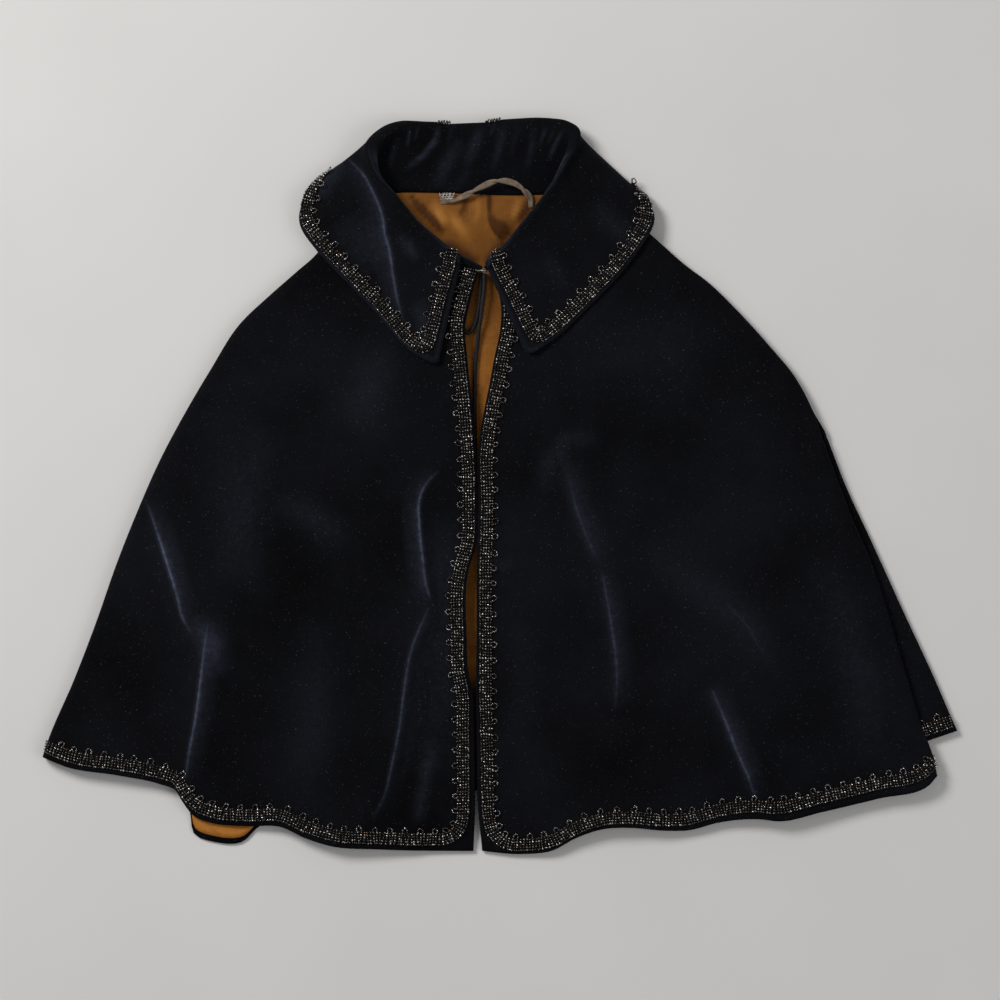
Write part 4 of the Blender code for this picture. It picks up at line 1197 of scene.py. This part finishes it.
def lining_material():
    """Amber satin with fine threads, worn and stained in places, with shade and highlights painted on it.
    """
    n = Nodes("amber_satin")
    base = n.ramp(n.noise(26.0, 5.0, 0.6), [(0.3, (0.29, 0.105, 0.016)), (0.72, (0.46, 0.180, 0.031))])
    stain = n.ramp(n.noise(70.0, 5.0, 0.7), [(0.50, (0, 0, 0)), (0.68, (1, 1, 1))])
    colour = n.mix(n.math("MULTIPLY", stain, 0.45), base, (0.13, 0.045, 0.010))
    # Painted shade and painted highlights on the satin
    colour = n.mix(n.value("dark"), colour, (0.040, 0.012, 0.002))
    colour = n.mix(n.value("light"), colour, (0.46, 0.20, 0.040))
    threads = n.wave(900.0, "Y", 0.6)
    normal = n.bump(threads, 0.0002, 0.35)
    normal = n.bump(n.noise(220.0, 3.0, 0.6, (1.0, 0.35, 1.0)), 0.0008, 0.4, normal)
    return n.finish(colour, normal, Roughness=0.55, Specular_IOR_Level=0.08, Anisotropic=0.35)


def bead_material():
    """Beads from smoky grey to silver, and copper at the end of the ramp."""
    n = Nodes("dark_beads")
    colour = n.ramp(n.value("tone"), [(0.0, (0.030, 0.028, 0.026)), (0.35, (0.075, 0.070, 0.064)),
                                      (0.6, (0.15, 0.14, 0.125)), (0.8, (0.32, 0.30, 0.27)),
                                      (0.92, (0.62, 0.59, 0.55)), (0.95, (0.16, 0.085, 0.05)),
                                      (1.0, (0.16, 0.085, 0.05))])
    normal = n.bump(n.noise(900.0, 2.0), 0.0003, 0.5)
    return n.finish(colour, normal, Roughness=0.2, Metallic=0.9, Specular_IOR_Level=0.5)


def net_material():
    """Dark tulle and thread under the beads."""
    n = Nodes("bead_net")
    colour = n.ramp(n.noise(900.0, 3.0, 0.7), [(0.4, (0.0025, 0.0025, 0.0028)),
                                               (0.8, (0.016, 0.013, 0.011))])
    return n.finish(colour, n.bump(n.noise(700.0, 3.0), 0.0005, 0.6), Roughness=0.9, Specular_IOR_Level=0.1)


def cord_material():
    """Black rayon cord."""
    n = Nodes("black_cord")
    colour = n.ramp(n.noise(300.0, 3.0), [(0.3, (0.003, 0.003, 0.0033)), (0.8, (0.010, 0.0095, 0.010))])
    bump = n.bump(n.noise(2200.0, 3.0), 0.0002, 0.6)
    return n.finish(colour, bump, Roughness=0.6, Specular_IOR_Level=0.25)


def tape_material():
    """Faded brown tape with a slanting weave."""
    n = Nodes("brown_tape")
    base = n.ramp(n.noise(120.0, 5.0, 0.65), [(0.3, (0.085, 0.056, 0.036)), (0.7, (0.26, 0.19, 0.13))])
    weave = n.wave(520.0, "DIAGONAL", 1.5)
    colour = n.mix(n.math("MULTIPLY", weave, 0.35), base, (0.07, 0.036, 0.02))
    return n.finish(colour, n.bump(weave, 0.0004, 0.6), Roughness=0.75, Sheen_Weight=0.1)


def thread_material():
    """Pale sewing thread."""
    n = Nodes("pale_thread")
    colour = n.ramp(n.noise(500.0, 2.0), [(0.35, (0.16, 0.14, 0.12)), (0.7, (0.52, 0.49, 0.45))])
    return n.finish(colour, n.bump(n.noise(2500.0, 2.0), 0.0001, 0.5), Roughness=0.8)


def metal_material():
    """Dull steel wire with a little tarnish."""
    n = Nodes("steel_wire")
    colour = n.ramp(n.noise(600.0, 3.0), [(0.35, (0.20, 0.18, 0.16)), (0.7, (0.55, 0.53, 0.50))])
    return n.finish(colour, n.bump(n.noise(1500.0, 2.0), 0.0001, 0.4), Roughness=0.32, Metallic=1.0)


def floor_material():
    """Plain pale floor."""
    n = Nodes("pale_floor")
    colour = n.ramp(n.noise(5.0, 2.0), [(0.3, (0.60, 0.585, 0.56)), (0.7, (0.62, 0.605, 0.58))])
    return n.finish(colour, None, Roughness=0.9, Specular_IOR_Level=0.2)


# Scene

def camera_and_light():
    """Straight down on the cape, with soft light from the upper left."""
    scene = bpy.context.scene
    lens = bpy.data.cameras.new("camera")
    lens.sensor_width = 36.0
    lens.lens = 36.0 * CAMERA_HEIGHT / FRAME_WIDTH
    lens.clip_end = 40.0
    camera = bpy.data.objects.new("camera", lens)
    camera.location = (*VIEW_MIDDLE, CAMERA_HEIGHT + 0.012)
    bpy.context.collection.objects.link(camera)
    scene.camera = camera
    for name, place, size, power in LIGHTS:
        light = bpy.data.lights.new(name, "AREA")
        light.shape = "DISK"
        light.size = size
        light.energy = power
        lamp = bpy.data.objects.new(name, light)
        lamp.location = place
        away = -np.array(place, float)
        flat = math.hypot(away[0], away[1])
        lamp.rotation_euler = (math.atan2(flat, -away[2]), 0.0, math.atan2(away[1], away[0]) - math.pi / 2)
        bpy.context.collection.objects.link(lamp)
    world = bpy.data.worlds.new("studio")
    world.use_nodes = True
    world.node_tree.nodes["Background"].inputs["Color"].default_value = (0.93, 0.95, 1.0, 1.0)
    world.node_tree.nodes["Background"].inputs["Strength"].default_value = WORLD_LIGHT
    scene.world = world
    scene.view_settings.view_transform = "Standard"
    mesh = bpy.data.meshes.new("floor")
    turns = ((-1, -1), (1, -1), (1, 1), (-1, 1))
    corners = [(x * FLOOR_HALF, y * FLOOR_HALF, FLOOR_LEVEL) for x, y in turns]
    mesh.from_pydata(corners, [], [(0, 1, 2, 3)])
    mesh.materials.append(floor_material())
    floor = bpy.data.objects.new("floor", mesh)
    bpy.context.collection.objects.link(floor)


def opening_edge(column):
    """One edge of the front opening, from the neck to the hem."""
    return Curve([(row[column], row[0]) for row in OPENING])


def edge_bands(surface, start, end, edge, low, corner, side):
    """The band along an edge and round its corner. side turns the way in from the edge."""
    path, normals, along = band_path(surface, corner_route(start, end, edge, low, corner), RUNG_STEP)
    return [(path, normals, along, unit(np.cross(normals, along)) * side, True)]


def dress_fronts(velvet, lining, beads, net):
    """Both fronts with their creases, inner cloth and bead trim."""
    pieces = {}
    lines = {"left": LEFT_LINES, "right": RIGHT_LINES}
    left = Patch(Curve(LEFT_NECK), Curve(LEFT_HEM), opening_edge(1), Curve(LEFT_SIDE))
    right = Patch(Curve(RIGHT_NECK), Curve(RIGHT_HEM), opening_edge(2), Curve(RIGHT_SIDE))
    panels = {"left": (left, LEFT_FOLDS, False), "right": (right, RIGHT_FOLDS, True)}
    for side, (patch, folds, pleated) in panels.items():
        own = OWN_FOLDS[side]
        grid, nap = front_grid(patch, (folds[:own], folds[own:]), pleated)
        turn = -1.0 if side == "left" else 1.0
        outwards = grid_normals(grid) * turn
        rows, columns = grid.shape[0] - 1, grid.shape[1] - 1
        inner = np.ones((rows, columns), bool)
        inner[:, :3] = False
        inner[-3:, :] = False
        # Painted highlights on the velvet, along the lines of light and on the folds
        place, gleam = lines_of_light(lines[side], grid[..., 0], grid[..., 1])
        piece = shell(f"velvet_front_{side}", grid, grid - outwards * CLOTH, [velvet, lining],
                      flip=side == "left", inner=inner, nap=(nap, nap * 0),
                      crease=(place, place * 0), gleam=(gleam, gleam * 0),
                      dark=(nap * 0, nap * 0), light=(nap * 0, nap * 0))
        ride(piece, "velvet", f"front_{side}")
        pieces[side] = piece
        surface = Surface(grid, outwards)
        start = patch.start.length - 1.0
        end = surface.across[-5, -1] - TRIM_STOPS[side]
        bands = edge_bands(surface, start, end, EDGE_TRIM[side], HEM_TRIM[side], HEM_CORNER, turn)
        bead_trim(f"front_{side}", bands, beads, net)
    return pieces


def dress_back(velvet, lining, beads, net):
    """The back, its lining, and the trim on its outer fold."""
    patch = Patch(Curve(BACK_NECK), Curve(BACK_HEM), Curve(LEFT_SIDE), Curve(RIGHT_OUTER))
    grid = back_grid(patch)
    outwards = -grid_normals(grid)
    still = np.zeros(grid.shape[:2])
    back = shell("velvet_back", grid, grid - outwards * CLOTH, [velvet], flip=True, nap=(still, still),
                 crease=(still, still), gleam=(still, still))
    ride(back, "velvet", "back")
    inner, ridges, tone = lining_grid(patch)
    upper = inner + np.stack([ridges * 0, ridges * 0, ridges + LINING], axis=-1)
    # Painted shade on the darker folds, under the collar towards the neck, and in the shadow at the middle
    # of the hem; painted highlights on the lighter folds
    neck_shade = smooth_step((inner[..., 1] - 40) / 150.0) * 0.60
    shaded = smooth_step((-165 - inner[..., 1]) / 30.0) * smooth_step((60 - np.abs(inner[..., 0])) / 20.0)
    dark = np.maximum(np.clip(np.clip(-tone, 0, 1) * 0.6 + neck_shade, 0, 0.95), shaded)
    light = np.clip(tone, 0, 1) * 0.5
    piece = shell("amber_lining", inner, upper, [lining], flip=True,
                  dark=(dark, dark), light=(light, light))
    ride(piece, "lining", "back_lining")
    surface = Surface(grid[:, ::-1], outwards[:, ::-1])
    depth = surface.across[-5, 6]
    route = [(d, PLEAT_TRIM) for d in np.arange(depth - 30.0, depth + 4.0, 2.0)]
    path, normals, along = band_path(surface, route, RUNG_STEP)
    bands = [(path, normals, along, unit(np.cross(normals, along)), True)]
    bead_trim("pleat", bands, beads, net)
    return back, piece


def round_corner(corner, radius):
    """Draw the first corner of a grid in to a quarter circle."""
    down = np.pad(np.cumsum(np.linalg.norm(np.diff(corner, axis=0), axis=2), axis=0), ((1, 0), (0, 0)))
    across = np.pad(np.cumsum(np.linalg.norm(np.diff(corner, axis=1), axis=2), axis=1), ((0, 0), (1, 0)))
    u, v = np.clip(1 - down / radius, 0, 1), np.clip(1 - across / radius, 0, 1)
    spare = 1 - np.maximum(u, v) / np.maximum(np.hypot(u, v), 1e-6)
    spare = np.where(np.minimum(u, v) > 0, spare, 0.0)
    corner += (unit(np.gradient(corner, axis=0)) * (u * spare)[..., None]
               + unit(np.gradient(corner, axis=1)) * (v * spare)[..., None]) * radius


def collar_end(side, velvet):
    """The roll of the collar between a lobe and the hook, getting narrower towards it."""
    share = np.linspace(0, 1, END_STEPS)
    crest = Curve(COLLAR_ENDS[side]).at(share)
    along = unit(np.gradient(crest[:, :2], axis=0))
    out = np.stack([along[:, 1], -along[:, 0]], axis=1) * (1 if side == "left" else -1)
    section = Curve([(o, h, 0) for o, h in END_SECTION]).at(np.linspace(0, 1, END_COLUMNS))
    size = (END_SIZE - END_NARROWS * share)[:, None]
    offset, height = section[None, :, 0] * size, section[None, :, 1] * size
    grid = np.concatenate([crest[:, None, :2] + out[:, None] * offset[..., None],
                           (crest[:, None, 2] + height)[..., None]], axis=-1)
    outwards = grid_normals(grid)
    outwards *= np.sign(outwards[12, 8, 2])
    # Painted highlight along the rim of the roll
    glow = END_GLOW * np.sin(math.pi * (0.15 + 0.7 * share))
    rim = np.exp(-((np.arange(END_COLUMNS) - END_RIM) / END_RIM_WIDTH) ** 2)[None, :] * glow[:, None]
    still = rim * 0
    return shell(f"collar_end_{side}", grid, grid - outwards * END_CLOTH, [velvet], flip=side == "left",
                 nap=(rim, still), crease=(still, still), gleam=(still, still))


def dress_collar(velvet, beads, net):
    """The collar, with the trim round its two lobes and at its notch."""
    grid, nap, (place, gleam), notch_from, notch_to = collar_grid()
    outwards = grid_normals(grid)
    halves = {"left": (grid[:notch_from].copy(), outwards[:notch_from]),
              "right": (grid[notch_to - 1:][::-1].copy(), outwards[notch_to - 1:][::-1])}
    round_corner(grid[:, ::-1], LOBE_ROUND["left"])
    round_corner(grid[::-1, ::-1], LOBE_ROUND["right"])
    outwards = grid_normals(grid)
    inner = grid - outwards * COLLAR_CLOTH
    for layer in (grid, inner):
        layer[..., 2] = np.maximum(layer[..., 2], 0.0)
    rows, columns = grid.shape[0] - 1, grid.shape[1] - 1
    keep = np.ones((rows, columns), bool)
    keep[notch_from - 1:notch_to - 1, STAND_STEPS + 1:] = False
    # Lighter lines along the collar's edges, partly wear and partly painted sheen
    edge = np.zeros(grid.shape[:2])
    edge[:, -2:] = 0.07
    edge[:2] = np.maximum(edge[:2], 0.05)
    edge[-2:] = np.maximum(edge[-2:], 0.05)
    piece = shell("velvet_collar", grid, inner, [velvet], keep=keep,
                  nap=(np.clip(nap + edge, 0, 1), nap * 0), crease=(place, place * 0),
                  gleam=(gleam, gleam * 0))
    parts = [piece] + [collar_end(side, velvet) for side in COLLAR_ENDS]
    with bpy.context.temp_override(active_object=piece, selected_editable_objects=parts):
        bpy.ops.object.join()
    ride(piece, "velvet", "collar")
    for side, (lobe, ways) in halves.items():
        turn = -1.0 if side == "left" else 1.0
        face = Surface(lobe.transpose(1, 0, 2)[STAND_STEPS:], ways.transpose(1, 0, 2)[STAND_STEPS:])
        start = face.up[0, -1] - 3.0
        bands = edge_bands(face, start, COLLAR_TRIM_ENDS[side], LOBE_EDGE_TRIM, COLLAR_TRIM, LOBE_CORNER,
                           turn)
        top = face.up[-1, -1]
        route = [(face.width(h) - NOTCH_TRIM, h) for h in np.arange(top - 12.0, top, 1.5)]
        path, normals, along = band_path(face, route, RUNG_STEP)
        bands.append((path, normals, along, unit(np.cross(normals, along)) * turn, False))
        bead_trim(f"collar_{side}", bands, beads, net)
    return piece


def main():
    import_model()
    camera_and_light()
    cord = cord_material()
    metal = metal_material()
    knot = bpy.data.objects["cord_knot"]
    knot.material_slots[0].material = cord
    for name in ("neck_hook", "neck_eye"):
        bpy.data.objects[name].material_slots[0].material = metal
    rope("black_cord", CORD, cord, CORD[0], "knot", [knot], "neck_cord")
    rope("black_cord_short", CORD_LOOP, cord, CORD_LOOP[0], "object", [], "neck_cord_loop")
    velvet, lining = velvet_material(), lining_material()
    beads, net = bead_material(), net_material()
    fronts = dress_fronts(velvet, lining, beads, net)
    back, inside = dress_back(velvet, lining, beads, net)
    collar = dress_collar(velvet, beads, net)
    tape = tape_material()
    hanger(tape)
    stitches("hanger_stitches", HANGER_STITCHES, thread_material(), "tape")
    bpy.context.view_layer.update()


main()
